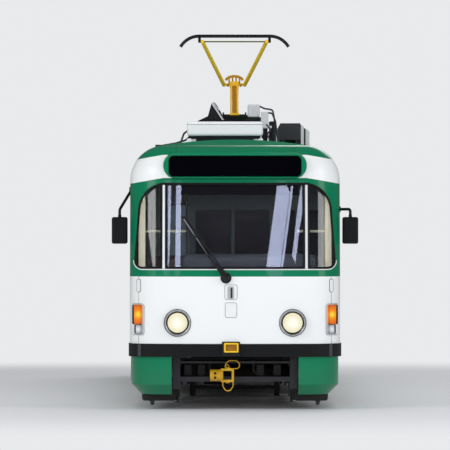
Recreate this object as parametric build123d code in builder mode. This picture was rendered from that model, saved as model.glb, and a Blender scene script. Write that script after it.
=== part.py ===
"""Single four-axle electric tram, standing on the bottoms of its wheel flanges.

Millimetres. +Z is up, the front faces -Y and +X is the left-hand side of the tram.
The origin is the middle of the plan, level with the bottoms of the flanges.
"""

from build123d import *
from math import asin, atan2, cos, degrees, radians, sin, sqrt, tan
import os

os.makedirs("parts", exist_ok=True)

# Body shell
body_length = 14000
body_width = 2500
wall = 45
corner_radius = 420
bow_radius = 5000
wall_bottom = 629
belt_height = 1577
screen_rake = 10
roof_height = 3211
crown_radius = 5137
crown_slope = 20
crown_root = 60
dome_step = 12
cantrail_height = 2510
mask_length = 800
panel_gap = 4

# Floor and skirts
floor_height = 900
floor_thickness = 40
skirt_bottom = 180
skirt_thickness = 40
skirt_inset = 20
skirt_turn = 120
nose_gap = 1500
arch_height = 365
arch_angle = 55
arch_clearance = 130

# Windows
screen_bottom = 1667
screen_top = 2688
screen_bottom_width = 2406
screen_top_width = 2252
screen_bottom_corner = 95
screen_top_corner = 330
rear_window_width = 2000
rear_window_height = 833
rear_window_corner = 150
glass_thickness = 8
glass_inset = 18
divider_offset = 845
divider_width = 30
window_bottom = 1650
window_height = 840
window_corner = 80
pillar_width = 160

# Doors
door_pitch = 5450
door_width = 1300
sill_height = 350
door_clearance = 6
leaf_width = 315
leaf_thickness = 36
leaf_inset = 6
leaf_window_width = 205
leaf_window = (1150, 2380)

# Step wells
tread_thickness = 25
first_riser_x = 850
second_tread_height = 625
second_riser_x = 550

# Cab
partition_thickness = 30

# Lamps and front equipment
headlamp_offset = 680
headlamp_height = 1032
headlamp_radius = 157
lens_radius = 118
headlamp_sink = 8
headlamp_depth = 70
turn_lamp_limits = ((1099, 1199), (1012, 1242))
marker_lamp_limits = ((1099, 1175), (900, 1005))
tail_lamp_limits = ((1060, 1190), (900, 1005))
lamp_depth = 22
bumper_height = 154
bumper_depth = 15
bumper_wrap = 140
display_width = 1700
display_pane_width = 1580
display_pane_height = 255
display_bottom = 2740
display_top = 3042
display_proud = 63
display_sunk = 170
display_depth = 38

# Running gear
bogie_offset = 3200
wheelbase = 1900
flange_radius = 372
tread_radius = 350
wheel_back = 690
flange_width = 25
wheel_width = 110
axle_radius = 75
bearing_clearance = 0.1
beam_offset = 505
beam_width = 100
bolster_width = 360
bolster_top = 600
pivot_radius = 90
pivot_clearance = 5

# Pantograph
panto_y = -3300
panto_base_height = 3560
lower_arm_length = 1100
lower_arm_angle = 22.2
upper_arm_length = 1400
upper_arm_angle = 20.88
arm_tube_radius = 14
knee_half_width = 134
head_half_width = 401
pin_radius = 15
bow_straight = 886
bow_width = 1348
bow_drop = 134
bow_thickness = 42
bow_rise = 69

half_length = body_length / 2
half_width = body_width / 2
seam = half_length - mask_length
rake = radians(screen_rake)
corner_x = half_width - corner_radius
corner_back = bow_radius - sqrt((bow_radius - corner_radius) ** 2 - corner_x**2)
bow_turn = degrees(atan2(corner_x, bow_radius - corner_back))
crown_centre = roof_height - crown_radius
dome_base = crown_centre + sqrt((crown_radius - corner_radius) ** 2 - corner_x**2)
dome_setback = (dome_base - belt_height) * tan(rake) + dome_step
dome_end = half_length - dome_setback - corner_back
bumper_top = wall_bottom + bumper_height
frame_top = floor_height - floor_thickness
bay_width = (door_pitch - door_width) / 3
cab_depth = door_pitch - door_width / 2 - partition_thickness
window_middle = window_bottom + window_height / 2
door_centres = (-door_pitch, 0, door_pitch)
between_bays = [
    (start + door_width / 2 + bay_width * (step + 0.5), bay_width)
    for start in (-door_pitch, 0)
    for step in range(3)
]
full_bays = between_bays + [(centre, door_width) for centre in door_centres]


def block(x_limits, y_limits, z_limits):
    """A box between its limits along each axis."""
    low = (x_limits[0], y_limits[0], z_limits[0])
    size = (
        x_limits[1] - x_limits[0],
        y_limits[1] - y_limits[0],
        z_limits[1] - z_limits[0],
    )
    with BuildPart() as piece:
        with Locations(low):
            Box(*size, align=(Align.MIN, Align.MIN, Align.MIN))
    return piece.part


def rod(start, end, radius):
    """A round bar from one point to another."""
    start = Vector(*start)
    end = Vector(*end)
    with BuildPart() as bar:
        with BuildSketch(Plane(origin=start, z_dir=end - start)):
            Circle(radius)
        extrude(amount=(end - start).length)
    return bar.part


def plan_face(inset, setback, level):
    """The body's plan at one level, drawn in by an inset and set back at both ends."""
    side = half_width - inset
    bow_centre = half_length - setback - bow_radius
    corner_y = half_length - setback - corner_back
    with BuildSketch(Plane.XY.offset(level)) as plan:
        with BuildLine():
            Line((side, 0), (side, corner_y))
            CenterArc((corner_x, corner_y), corner_radius - inset, 0, 90 - bow_turn)
            CenterArc((0, bow_centre), bow_radius - inset, 90 - bow_turn, bow_turn)
            mirror(about=Plane.YZ)
            mirror(about=Plane.XZ)
        make_face()
    return plan.sketch


def lower_form(inset, bottom):
    """The body up to the dome, drawn in by an inset: upright to the belt, then raked at both ends."""
    with BuildPart() as raked:
        with BuildSketch():
            add(plan_face(inset, 0, 0).moved(Location((0, half_length, 0))))
            with Locations((0, half_length)):
                Rectangle(body_width - 2 * inset, body_length, align=(Align.CENTER, Align.MIN))
        extrude(amount=roof_height + body_length * tan(rake), both=True)
    nose = raked.part.rotate(Axis.X, -screen_rake).moved(Location((0, -half_length, belt_height)))
    with BuildPart() as form:
        extrude(plan_face(inset, 0, bottom), amount=dome_base - bottom)
        add(nose, mode=Mode.INTERSECT)
        add(nose.rotate(Axis.Z, 180), mode=Mode.INTERSECT)
    return form.part


def roof_form(inset):
    """The roof between the round ends, drawn in by an inset: a round-edged slab under the crown."""
    radius = corner_radius - inset
    crown = crown_radius - inset
    share = crown / (crown_radius - corner_radius)
    edge_x = corner_x * share
    edge_z = crown_centre + (dome_base - crown_centre) * share
    top = roof_height - inset
    top_y = dome_end - (top - edge_z) / tan(radians(crown_slope))
    with BuildPart() as hump:
        with BuildSketch(Plane.XZ):
            with Locations((0, crown_centre)):
                Circle(crown)
            with Locations((0, edge_z - crown_root)):
                Rectangle(
                    2 * edge_x,
                    roof_height,
                    align=(Align.CENTER, Align.MIN),
                    mode=Mode.INTERSECT,
                )
        extrude(amount=body_length, both=True)
        with BuildSketch(Plane.YZ):
            with BuildLine():
                Polyline(
                    (0, edge_z - crown_root),
                    (dome_end, edge_z - crown_root),
                    (dome_end, edge_z),
                    (top_y, top),
                    (0, top),
                )
                mirror(about=Plane.YZ)
            make_face()
        extrude(amount=body_width, both=True, mode=Mode.INTERSECT)
    with BuildPart() as form:
        with BuildSketch(Plane.XZ):
            with BuildLine():
                Line((0, dome_base), (half_width - inset, dome_base))
                CenterArc((corner_x, dome_base), radius, 0, 90)
                Line((corner_x, dome_base + radius), (0, dome_base + radius))
                mirror(about=Plane.YZ)
            make_face()
        extrude(amount=dome_end, both=True)
        add(hump.part)
    return form.part


def band(inset, depth, z_limits):
    """A strip of the body's upright plan between two levels, as deep as stated."""
    outside = plan_face(inset, 0, z_limits[0])
    inside = plan_face(inset + depth, 0, z_limits[0])
    with BuildPart() as strip:
        extrude(outside, amount=z_limits[1] - z_limits[0])
        extrude(inside, amount=z_limits[1] - z_limits[0], mode=Mode.SUBTRACT)
    return strip.part


# Round end of the roof: a bowed edge between two ball corners
with BuildPart() as bow_edge:
    with BuildSketch(Plane.XZ):
        with BuildLine():
            Polyline(
                (bow_radius - corner_radius, corner_radius), (0, corner_radius), (0, 0), (bow_radius, 0)
            )
            CenterArc((bow_radius - corner_radius, 0), corner_radius, 0, 90)
        make_face()
    revolve(axis=Axis.Z, revolution_arc=2 * bow_turn)
with BuildPart() as ball_corner:
    with BuildSketch(Plane.XZ):
        with BuildLine():
            Polyline((0, corner_radius), (0, 0), (corner_radius, 0))
            CenterArc((0, 0), corner_radius, 0, 90)
        make_face()
    revolve(axis=Axis.Z, revolution_arc=90 - bow_turn)
bow_place = Location((0, dome_end + corner_back - bow_radius, dome_base))
corner_place = Location((corner_x, dome_end, dome_base))
with BuildPart() as round_end:
    add(bow_edge.part.rotate(Axis.Z, 90 - bow_turn).moved(bow_place))
    add(ball_corner.part.moved(corner_place))
    add(ball_corner.part.moved(corner_place).mirror(Plane.YZ))

with BuildPart() as outer_body:
    add(lower_form(0, wall_bottom))
    add(roof_form(0))
    add(round_end.part)
    add(round_end.part.rotate(Axis.Z, 180))
outer_form = outer_body.part

with BuildPart() as inner_body:
    add(lower_form(wall, wall_bottom - wall))
    add(roof_form(wall))
inner_form = inner_body.part

with BuildPart() as body_shell:
    add(outer_form)
    add(inner_form, mode=Mode.SUBTRACT)

with BuildPart() as pane_skin:
    add(lower_form(glass_inset, wall_bottom))
    add(lower_form(glass_inset + glass_thickness, wall_bottom - wall), mode=Mode.SUBTRACT)

display_middle = (display_bottom + display_top) / 2
display_height = display_top - display_bottom
display_face = bow_radius + display_proud


def display_sector(width, height, radius_limits):
    """A bowed block about the middle of the display, between two radii of the bow."""
    turn = 2 * degrees(asin(width / 2 / bow_radius))
    with BuildPart() as sector:
        with BuildSketch(Plane.XZ):
            with Locations((radius_limits[0], display_middle)):
                Rectangle(radius_limits[1] - radius_limits[0], height, align=(Align.MIN, Align.CENTER))
        revolve(axis=Axis.Z, revolution_arc=turn)
    place = Location((0, bow_radius - corner_back - dome_end, 0))
    return sector.part.rotate(Axis.Z, -90 - turn / 2).moved(place)


# The display's housing, let into the front dome
display_block = display_sector(display_width, display_height, (bow_radius - display_sunk, display_face))

# Outlines of the windscreen's three panes, seen from the front
with BuildSketch(Plane.XZ) as screen_outline:
    with BuildLine():
        Polyline(
            (-screen_bottom_width / 2, screen_bottom),
            (screen_bottom_width / 2, screen_bottom),
            (screen_top_width / 2, screen_top),
            (-screen_top_width / 2, screen_top),
            close=True,
        )
    make_face()
    fillet(screen_outline.vertices().group_by(Axis.Y)[0], radius=screen_bottom_corner)
    fillet(screen_outline.vertices().group_by(Axis.Y)[-1], radius=screen_top_corner)
    with Locations((-divider_offset, screen_top), (divider_offset, screen_top)):
        Rectangle(divider_width, screen_top, mode=Mode.SUBTRACT)

# Outline of the rear window
with BuildSketch(Plane.XZ) as rear_outline:
    with Locations((0, screen_bottom + rear_window_height / 2)):
        RectangleRounded(rear_window_width, rear_window_height, rear_window_corner)

# Front mask, one moulding with the windscreen's openings and the headlamp holes
with BuildPart() as front_mask:
    add(body_shell.part)
    add(
        block((-half_width, half_width), (-half_length, -seam), (0, roof_height)),
        mode=Mode.INTERSECT,
    )
    extrude(screen_outline.sketch, amount=body_length, mode=Mode.SUBTRACT)
    with BuildSketch(Plane.XZ):
        with Locations((-headlamp_offset, headlamp_height), (headlamp_offset, headlamp_height)):
            Circle(headlamp_radius)
    extrude(amount=body_length, mode=Mode.SUBTRACT)
    add(display_block, mode=Mode.SUBTRACT)
front_mask.part.label = "front_mask"
export_step(front_mask.part, "parts/front_mask.step")

# Rear mask
with BuildPart() as rear_mask:
    add(body_shell.part)
    add(
        block((-half_width, half_width), (seam, half_length), (0, roof_height)),
        mode=Mode.INTERSECT,
    )
    extrude(rear_outline.sketch, amount=-body_length, mode=Mode.SUBTRACT)
rear_mask.part.label = "rear_mask"
export_step(rear_mask.part, "parts/rear_mask.step")

# Roof between the masks
with BuildPart() as roof:
    add(body_shell.part)
    add(
        block((-half_width, half_width), (-seam, seam), (cantrail_height, roof_height)),
        mode=Mode.INTERSECT,
    )
roof.part.label = "roof"
export_step(roof.part, "parts/roof.step")

# Left side wall, windows all along
with BuildPart() as wall_left:
    add(block((half_width - wall, half_width), (-seam, seam), (wall_bottom, cantrail_height)))
    with BuildSketch(Plane.YZ):
        for bay_y, bay_size in full_bays:
            with Locations((bay_y, window_middle)):
                RectangleRounded(bay_size - pillar_width, window_height, window_corner)
    extrude(amount=body_width, mode=Mode.SUBTRACT)
wall_left.part.label = "wall_left"
export_step(wall_left.part, "parts/wall_left.step")

# Right side wall in four panels, windows between the three doorways
with BuildPart() as wall_right:
    add(block((-half_width, wall - half_width), (-seam, seam), (wall_bottom, cantrail_height)))
    with BuildSketch(Plane.YZ):
        for bay_y, bay_size in between_bays:
            with Locations((bay_y, window_middle)):
                RectangleRounded(bay_size - pillar_width, window_height, window_corner)
        for door_y in door_centres:
            with Locations((door_y, (wall_bottom + cantrail_height) / 2)):
                Rectangle(door_width, cantrail_height)
    extrude(amount=-body_width, mode=Mode.SUBTRACT)
wall_right.part.label = "wall_right"
export_step(wall_right.part, "parts/wall_right.step")

# Windscreen, three panes following the mask
with BuildPart() as windscreen:
    add(pane_skin.part)
    extrude(screen_outline.sketch, amount=body_length, mode=Mode.INTERSECT)
windscreen.part.label = "windscreen"
export_step(windscreen.part, "parts/windscreen.step")

# Rear window
with BuildPart() as rear_window:
    add(pane_skin.part)
    extrude(rear_outline.sketch, amount=-body_length, mode=Mode.INTERSECT)
rear_window.part.label = "rear_window"
export_step(rear_window.part, "parts/rear_window.step")

# Side window panes, fixed to the inside of the walls and lapping their openings
pane_lap = 25
with BuildPart() as side_windows:
    for side, bays in ((1, full_bays), (-1, between_bays)):
        with BuildSketch(Plane.YZ.offset(side * (half_width - wall))):
            for bay_y, bay_size in bays:
                with Locations((bay_y, window_middle)):
                    Rectangle(
                        bay_size - pillar_width + 2 * pane_lap,
                        min(window_height + 2 * pane_lap, 2 * (cantrail_height - window_middle)),
                    )
        extrude(amount=-side * glass_thickness)
side_windows.part.label = "side_windows"
export_step(side_windows.part, "parts/side_windows.step")

# Skirts under the walls, in panels: open at the nose and tail, arched over the wheels
arch_half = wheelbase / 2 + flange_radius + arch_clearance
arch_top_half = arch_half - arch_height / tan(radians(arch_angle))
with BuildPart() as skirt_outside:
    extrude(plan_face(skirt_inset, 0, skirt_bottom), amount=wall_bottom - skirt_bottom)
    chamfer(skirt_outside.faces().sort_by(Axis.Z)[0].edges(), length=skirt_turn)
with BuildPart() as skirt_inside:
    extrude(plan_face(skirt_inset + skirt_thickness, 0, skirt_bottom), amount=wall_bottom - skirt_bottom)
    chamfer(
        skirt_inside.faces().sort_by(Axis.Z)[0].edges(),
        length=skirt_turn + skirt_thickness * (sqrt(2) - 1),
    )
with BuildPart() as skirts:
    add(skirt_outside.part)
    add(skirt_inside.part, mode=Mode.SUBTRACT)
    with Locations((0, 0, wall_bottom)):
        Box(nose_gap, body_length * 2, wall_bottom * 2, mode=Mode.SUBTRACT)
    with BuildSketch(Plane.YZ):
        for centre in (-bogie_offset, bogie_offset):
            with Locations((centre, skirt_bottom)):
                Trapezoid(2 * arch_half, arch_height, arch_angle, align=(Align.CENTER, Align.MIN))
            with Locations((centre - arch_top_half, wall_bottom), (centre + arch_top_half, wall_bottom)):
                Rectangle(panel_gap, wall_bottom)
    extrude(amount=body_width, both=True, mode=Mode.SUBTRACT)
    with BuildSketch(Plane.YZ):
        for door_y in door_centres:
            with Locations((door_y, sill_height - tread_thickness)):
                Rectangle(door_width, wall_bottom, align=(Align.CENTER, Align.MIN))
            with Locations((door_y - door_width / 2, wall_bottom), (door_y + door_width / 2, wall_bottom)):
                Rectangle(panel_gap, wall_bottom * 2)
    extrude(amount=-body_width, mode=Mode.SUBTRACT)
skirts.part.label = "skirts"
export_step(skirts.part, "parts/skirts.step")

# Floor boards, cut out over the step wells
with BuildPart() as floor:
    extrude(plan_face(wall, 0, frame_top), amount=floor_thickness)
    with Locations((-second_riser_x, 0, frame_top)):
        Box(
            panel_gap,
            body_length,
            floor_height,
            align=(Align.MAX, Align.CENTER, Align.CENTER),
            mode=Mode.SUBTRACT,
        )
    for door_y in door_centres:
        with Locations((-second_riser_x, door_y, frame_top)):
            Box(
                body_width,
                door_width,
                floor_height,
                align=(Align.MAX, Align.CENTER, Align.CENTER),
                mode=Mode.SUBTRACT,
            )
floor.part.label = "floor"
export_step(floor.part, "parts/floor.step")

# Two treads in each doorway
with BuildPart() as step_treads:
    for door_y in door_centres:
        door_limits = (door_y - door_width / 2, door_y + door_width / 2)
        add(
            block(
                (leaf_inset - half_width, -first_riser_x),
                door_limits,
                (sill_height - tread_thickness, sill_height),
            )
        )
        add(
            block(
                (-first_riser_x, -second_riser_x),
                door_limits,
                (second_tread_height - tread_thickness, second_tread_height),
            )
        )
step_treads.part.label = "step_treads"
export_step(step_treads.part, "parts/step_treads.step")

# Step wells: the risers under the treads, closed by a cheek at both sides
well_side = 20
cheek_x = half_width - 120
with BuildPart() as step_wells:
    with BuildSketch(Plane.XZ) as risers:
        for riser_x, low, high in (
            (first_riser_x, sill_height - tread_thickness, second_tread_height - tread_thickness),
            (second_riser_x, second_tread_height - tread_thickness, frame_top),
        ):
            with Locations((-riser_x, low)):
                Rectangle(tread_thickness, high - low, align=(Align.MIN, Align.MIN))
    with BuildSketch(Plane.XZ) as cheek:
        with BuildLine():
            Polyline(
                (-cheek_x, sill_height - tread_thickness),
                (tread_thickness - first_riser_x, sill_height - tread_thickness),
                (tread_thickness - first_riser_x, second_tread_height - tread_thickness),
                (tread_thickness - second_riser_x, second_tread_height - tread_thickness),
                (tread_thickness - second_riser_x, frame_top),
                (-cheek_x, frame_top),
                close=True,
            )
        make_face()
    for door_y in door_centres:
        with Locations((0, door_y, 0)):
            add(extrude(risers.sketch, amount=door_width / 2, both=True, mode=Mode.PRIVATE))
        for low in (door_y - door_width / 2 - well_side, door_y + door_width / 2):
            with Locations((0, low + well_side, 0)):
                add(extrude(cheek.sketch, amount=well_side, mode=Mode.PRIVATE))
step_wells.part.label = "step_wells"
export_step(step_wells.part, "parts/step_wells.step")

# Sills along the underframe
sill_offset = 430
sill_width = 100
sill_depth = 100
member_depth = 70
end_frame_y = half_length - 340
post_depth = 80
member_bottom = frame_top - member_depth
sill_bottom = member_bottom - sill_depth
with BuildPart() as sills:
    for side in (-1, 1):
        with Locations((side * sill_offset, 0, member_bottom)):
            Box(
                sill_width,
                2 * end_frame_y + post_depth,
                sill_depth,
                align=(Align.CENTER, Align.CENTER, Align.MAX),
            )
sills.part.label = "sills"
export_step(sills.part, "parts/sills.step")

# Cross members on the sills, four jacking pads under them, and a bolster with its pivot over each bogie
bolster_plate = 50
bolster_reach = 500
body_pivot_bottom = 520
pad_offset = 1000
pad_size = 120
pad_depth = 30
member_rows = (
    # middle, reach to the right, reach to the left, width along the tram
    (-seam, 1100, 1100, 120),
    (-1.5 * bogie_offset + 100, 1100, 1100, 70),
    (-bogie_offset, 1100, 1100, 120),
    (-1900, 1100, 1100, 100),
    (-800, 1100, 1100, 100),
    (0, 500, 1100, 100),
    (800, 1100, 1100, 100),
    (1900, 1100, 1100, 100),
    (bogie_offset, 1100, 1100, 120),
    (1.5 * bogie_offset - 100, 1100, 1100, 70),
    (seam, 1100, 1100, 120),
)
with BuildPart() as cross_members:
    for middle, right, left, width in member_rows:
        add(block((-right, left), (middle - width / 2, middle + width / 2), (member_bottom, frame_top)))
    for end in (-1, 1):
        with Locations(
            (-pad_offset, end * seam, member_bottom),
            (pad_offset, end * seam, member_bottom),
        ):
            Box(pad_size, pad_size, pad_depth, align=(Align.CENTER, Align.CENTER, Align.MAX))
        with Locations((0, end * bogie_offset, sill_bottom)):
            Box(
                2 * bolster_reach,
                bolster_width,
                bolster_plate,
                align=(Align.CENTER, Align.CENTER, Align.MAX),
            )
            Cylinder(
                pivot_radius,
                sill_bottom - body_pivot_bottom,
                align=(Align.CENTER, Align.CENTER, Align.MAX),
            )
cross_members.part.label = "cross_members"
export_step(cross_members.part, "parts/cross_members.step")

# End frames: two posts, a beam over them and two bars between them
post_limits = (650, 743)
post_bottom = 240
end_bars = (
    # bottom, top, depth along the tram
    (328, 387, 60),
    (546, 570, 50),
    (member_bottom, frame_top, post_depth),
)
with BuildPart() as end_frames:
    for end in (-1, 1):
        for side in (-1, 1):
            with Locations((side * sum(post_limits) / 2, end * end_frame_y, frame_top)):
                Box(
                    post_limits[1] - post_limits[0],
                    post_depth,
                    frame_top - post_bottom,
                    align=(Align.CENTER, Align.CENTER, Align.MAX),
                )
        for low, high, depth in end_bars:
            with Locations((0, end * end_frame_y, low)):
                Box(2 * post_limits[0], depth, high - low, align=(Align.CENTER, Align.CENTER, Align.MIN))
end_frames.part.label = "end_frames"
export_step(end_frames.part, "parts/end_frames.step")

# Bumpers, proud strips round both ends
with BuildPart() as bumpers:
    add(band(-bumper_depth, bumper_depth, (wall_bottom, bumper_top)))
    with Locations((0, 0, wall_bottom)):
        Box(
            body_width * 2,
            2 * (half_length - corner_back - bumper_wrap),
            body_width,
            mode=Mode.SUBTRACT,
        )
bumpers.part.label = "bumpers"
export_step(bumpers.part, "parts/bumpers.step")

# Display housing let into the front dome, and its glass
display_pocket = display_sector(
    display_pane_width,
    display_pane_height,
    (display_face - display_depth, display_face),
)
with BuildPart() as display_housing:
    add(display_block)
    add(display_pocket, mode=Mode.SUBTRACT)
display_housing.part.label = "display_housing"
export_step(display_housing.part, "parts/display_housing.step")

with BuildPart() as display_glass:
    add(
        display_sector(
            display_pane_width,
            display_pane_height,
            (display_face - display_depth, display_face - display_depth + glass_thickness),
        )
    )
display_glass.part.label = "display_glass"
export_step(display_glass.part, "parts/display_glass.step")

# Headlamp bodies: a ring in the mask, closed at the back
headlamp_front = half_length - headlamp_sink
lamp_back = 12
lens_thickness = 10
lens_sink = 4
with BuildPart() as headlamps:
    with BuildSketch(Plane.XZ.offset(headlamp_front - headlamp_depth)):
        with Locations((-headlamp_offset, headlamp_height), (headlamp_offset, headlamp_height)):
            Circle(headlamp_radius)
    extrude(amount=headlamp_depth)
    with BuildSketch(Plane.XZ.offset(headlamp_front - headlamp_depth + lamp_back)):
        with Locations((-headlamp_offset, headlamp_height), (headlamp_offset, headlamp_height)):
            Circle(lens_radius)
    extrude(amount=headlamp_depth, mode=Mode.SUBTRACT)
headlamps.part.label = "headlamps"
export_step(headlamps.part, "parts/headlamps.step")

# Headlamp lenses
with BuildPart() as headlamp_lenses:
    with BuildSketch(Plane.XZ.offset(headlamp_front - lens_sink - lens_thickness)):
        with Locations((-headlamp_offset, headlamp_height), (headlamp_offset, headlamp_height)):
            Circle(lens_radius)
    extrude(amount=lens_thickness)
headlamp_lenses.part.label = "headlamp_lenses"
export_step(headlamp_lenses.part, "parts/headlamp_lenses.step")


def corner_lamps(x_limits, z_limits, ends):
    """Lamps that stand proud of the body's corners at the stated ends."""
    with BuildPart() as lamps:
        add(band(-lamp_depth, lamp_depth, z_limits))
        with Locations(
            *[
                (side * (x_limits[0] + x_limits[1]) / 2, end * half_length, z_limits[0])
                for side in (-1, 1)
                for end in ends
            ]
        ):
            Box(x_limits[1] - x_limits[0], corner_radius * 2, body_width, mode=Mode.INTERSECT)
    return lamps.part


# Orange turn lamps on all four corners
with BuildPart() as turn_lamps:
    add(corner_lamps(*turn_lamp_limits, (-1, 1)))
turn_lamps.part.label = "turn_lamps"
export_step(turn_lamps.part, "parts/turn_lamps.step")

# Marker lamps below them, white at the front and red at the rear
with BuildPart() as marker_lamps:
    add(corner_lamps(*marker_lamp_limits, (-1,)))
    add(corner_lamps(*tail_lamp_limits, (1,)))
marker_lamps.part.label = "marker_lamps"
export_step(marker_lamps.part, "parts/marker_lamps.step")

# Outside mirrors on bent arms
mirror_width = 190
mirror_depth = 60
mirror_middle_x = half_width + 123
mirror_z_limits = (1963, 2282)
mirror_y = -half_length + 550
mirror_root_y = mirror_y + 160
mirror_root_z = 2610
mirror_bend_z = 2400
mirror_arm_radius = 14
with BuildPart() as mirrors:
    for side in (-1, 1):
        bend = (side * mirror_middle_x, mirror_y, mirror_bend_z)
        with Locations((side * mirror_middle_x, mirror_y, sum(mirror_z_limits) / 2)):
            Box(mirror_width, mirror_depth, mirror_z_limits[1] - mirror_z_limits[0])
        add(rod((side * (half_width - wall / 2), mirror_root_y, mirror_root_z), bend, mirror_arm_radius))
        with Locations(bend):
            Box(*[2.6 * mirror_arm_radius] * 3)
        add(rod(bend, (side * mirror_middle_x, mirror_y, mirror_z_limits[0]), mirror_arm_radius - 1))
    add(outer_form, mode=Mode.SUBTRACT)
mirrors.part.label = "mirrors"
export_step(mirrors.part, "parts/mirrors.step")

# Windscreen wiper: boss, arm and blade
wiper_boss_x = -107
wiper_boss_z = 1561
wiper_tip_x = -603
wiper_tip_z = 2293
with BuildPart() as wiper:
    with BuildSketch(Plane.XZ.offset(half_length - 60)):
        with Locations((wiper_boss_x, wiper_boss_z)):
            Circle(45)
    extrude(amount=115)
    add(
        rod(
            (wiper_boss_x, -half_length - 42, wiper_boss_z),
            (wiper_tip_x + 40, 115 - half_length, wiper_tip_z - 60),
            11,
        )
    )
    add(
        rod(
            (wiper_tip_x, 138 - half_length, wiper_tip_z),
            (wiper_tip_x + 200, 55 - half_length, wiper_tip_z - 420),
            13,
        )
    )
    add(outer_form, mode=Mode.SUBTRACT)
wiper.part.label = "wiper"
export_step(wiper.part, "parts/wiper.step")

# Stowed couplers at both ends: barrel, yoke with its pin hole, bracket
yoke_middle_x = -90
yoke_width = 153
yoke_height = 160
coupler_height = 408
coupler_y = -end_frame_y - 145
coupler_pin_radius = 18
with BuildPart() as one_coupler:
    add(rod((-296, coupler_y, coupler_height), (-150, coupler_y, coupler_height), 68))
    with Locations((yoke_middle_x, coupler_y, coupler_height)):
        Box(yoke_width, 70, yoke_height)
        Box(yoke_width - 52, 90, yoke_height - 54, mode=Mode.SUBTRACT)
        Cylinder(coupler_pin_radius, yoke_height + 20, mode=Mode.SUBTRACT)
    add(block((-250, -190), (coupler_y + 45, -end_frame_y - end_bars[0][2] / 2), (335, 385)))
with BuildPart() as couplers:
    add(one_coupler.part)
    add(one_coupler.part.rotate(Axis.Z, 180))
couplers.part.label = "couplers"
export_step(couplers.part, "parts/couplers.step")

# Socket box in front of the bumper
with BuildPart() as trainline_socket:
    add(block((-155, 58), (-half_length - 55, 200 - half_length), (640, 811)))
    add(block((-108, 17), (-half_length - 60, -half_length - 25), (700, 776)), mode=Mode.SUBTRACT)
    extrude(plan_face(-bumper_depth, 0, 0), amount=bumper_top, mode=Mode.SUBTRACT)
    extrude(plan_face(0, 0, 0), amount=belt_height, mode=Mode.SUBTRACT)
trainline_socket.part.label = "trainline_socket"
export_step(trainline_socket.part, "parts/trainline_socket.step")

# Cases on the roof, each on feet
roof_cases = (
    # piece, x limits, y limits, z limits
    ("roof_boxes", (-567, 330), (-seam + 550, -seam + 1350), (3237, 3408)),
    ("roof_boxes", (160, 310), (panto_y - 1000, panto_y - 800), (3525, 3687)),
    ("resistor_boxes", (585, 841), (panto_y + 900, panto_y + 4500), (3270, 3481)),
)
foot_size = 40


def roof_case(piece):
    """The cases of one piece, on feet that stand on the roof."""
    with BuildPart() as cases:
        for name, x_limits, y_limits, z_limits in roof_cases:
            if name == piece:
                add(block(x_limits, y_limits, z_limits))
                for foot_x in (x_limits[0] + foot_size, x_limits[1] - foot_size):
                    for foot_y in (y_limits[0] + foot_size * 1.5, y_limits[1] - foot_size * 1.5):
                        with Locations((foot_x, foot_y, z_limits[0])):
                            Box(
                                foot_size,
                                foot_size,
                                z_limits[0] - dome_base,
                                align=(Align.CENTER, Align.CENTER, Align.MAX),
                            )
        add(outer_form, mode=Mode.SUBTRACT)
    return cases.part


with BuildPart() as roof_boxes:
    add(roof_case("roof_boxes"))
roof_boxes.part.label = "roof_boxes"
export_step(roof_boxes.part, "parts/roof_boxes.step")

with BuildPart() as resistor_boxes:
    add(roof_case("resistor_boxes"))
resistor_boxes.part.label = "resistor_boxes"
export_step(resistor_boxes.part, "parts/resistor_boxes.step")

# Pantograph base on four insulators
base_bar_x = 140
base_bar_width = 20
insulator_radius = 42
pad_rise = 12
with BuildPart() as panto_base:
    for side in (-1, 1):
        with Locations((side * base_bar_x, panto_y + 150, panto_base_height - 30)):
            Box(base_bar_width, 700, 36)
        with Locations((side * base_bar_x, panto_y, panto_base_height)):
            Box(base_bar_width, 70, 76)
        for foot_y in (panto_y - 160, panto_y + 460):
            with Locations((side * base_bar_x, foot_y, roof_height + pad_rise)):
                Cylinder(
                    insulator_radius,
                    panto_base_height - 48 - roof_height - pad_rise,
                    align=(Align.CENTER, Align.CENTER, Align.MIN),
                )
                Box(
                    2.4 * insulator_radius,
                    2.4 * insulator_radius,
                    roof_height - dome_base,
                    align=(Align.CENTER, Align.CENTER, Align.MAX),
                )
    for bar_y in (panto_y - 190, panto_y + 490):
        with Locations((0, bar_y, panto_base_height - 30)):
            Box(2 * base_bar_x, 20, 36)
    add(outer_form, mode=Mode.SUBTRACT)
    add(
        rod(
            (-200, panto_y, panto_base_height),
            (200, panto_y, panto_base_height),
            pin_radius + bearing_clearance,
        ),
        mode=Mode.SUBTRACT,
    )
panto_base.part.label = "panto_base"
export_step(panto_base.part, "parts/panto_base.step")

knee_y = panto_y + lower_arm_length * cos(radians(lower_arm_angle))
knee_z = panto_base_height + lower_arm_length * sin(radians(lower_arm_angle))
head_y = knee_y - upper_arm_length * cos(radians(upper_arm_angle))
head_z = knee_z + upper_arm_length * sin(radians(upper_arm_angle))

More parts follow.
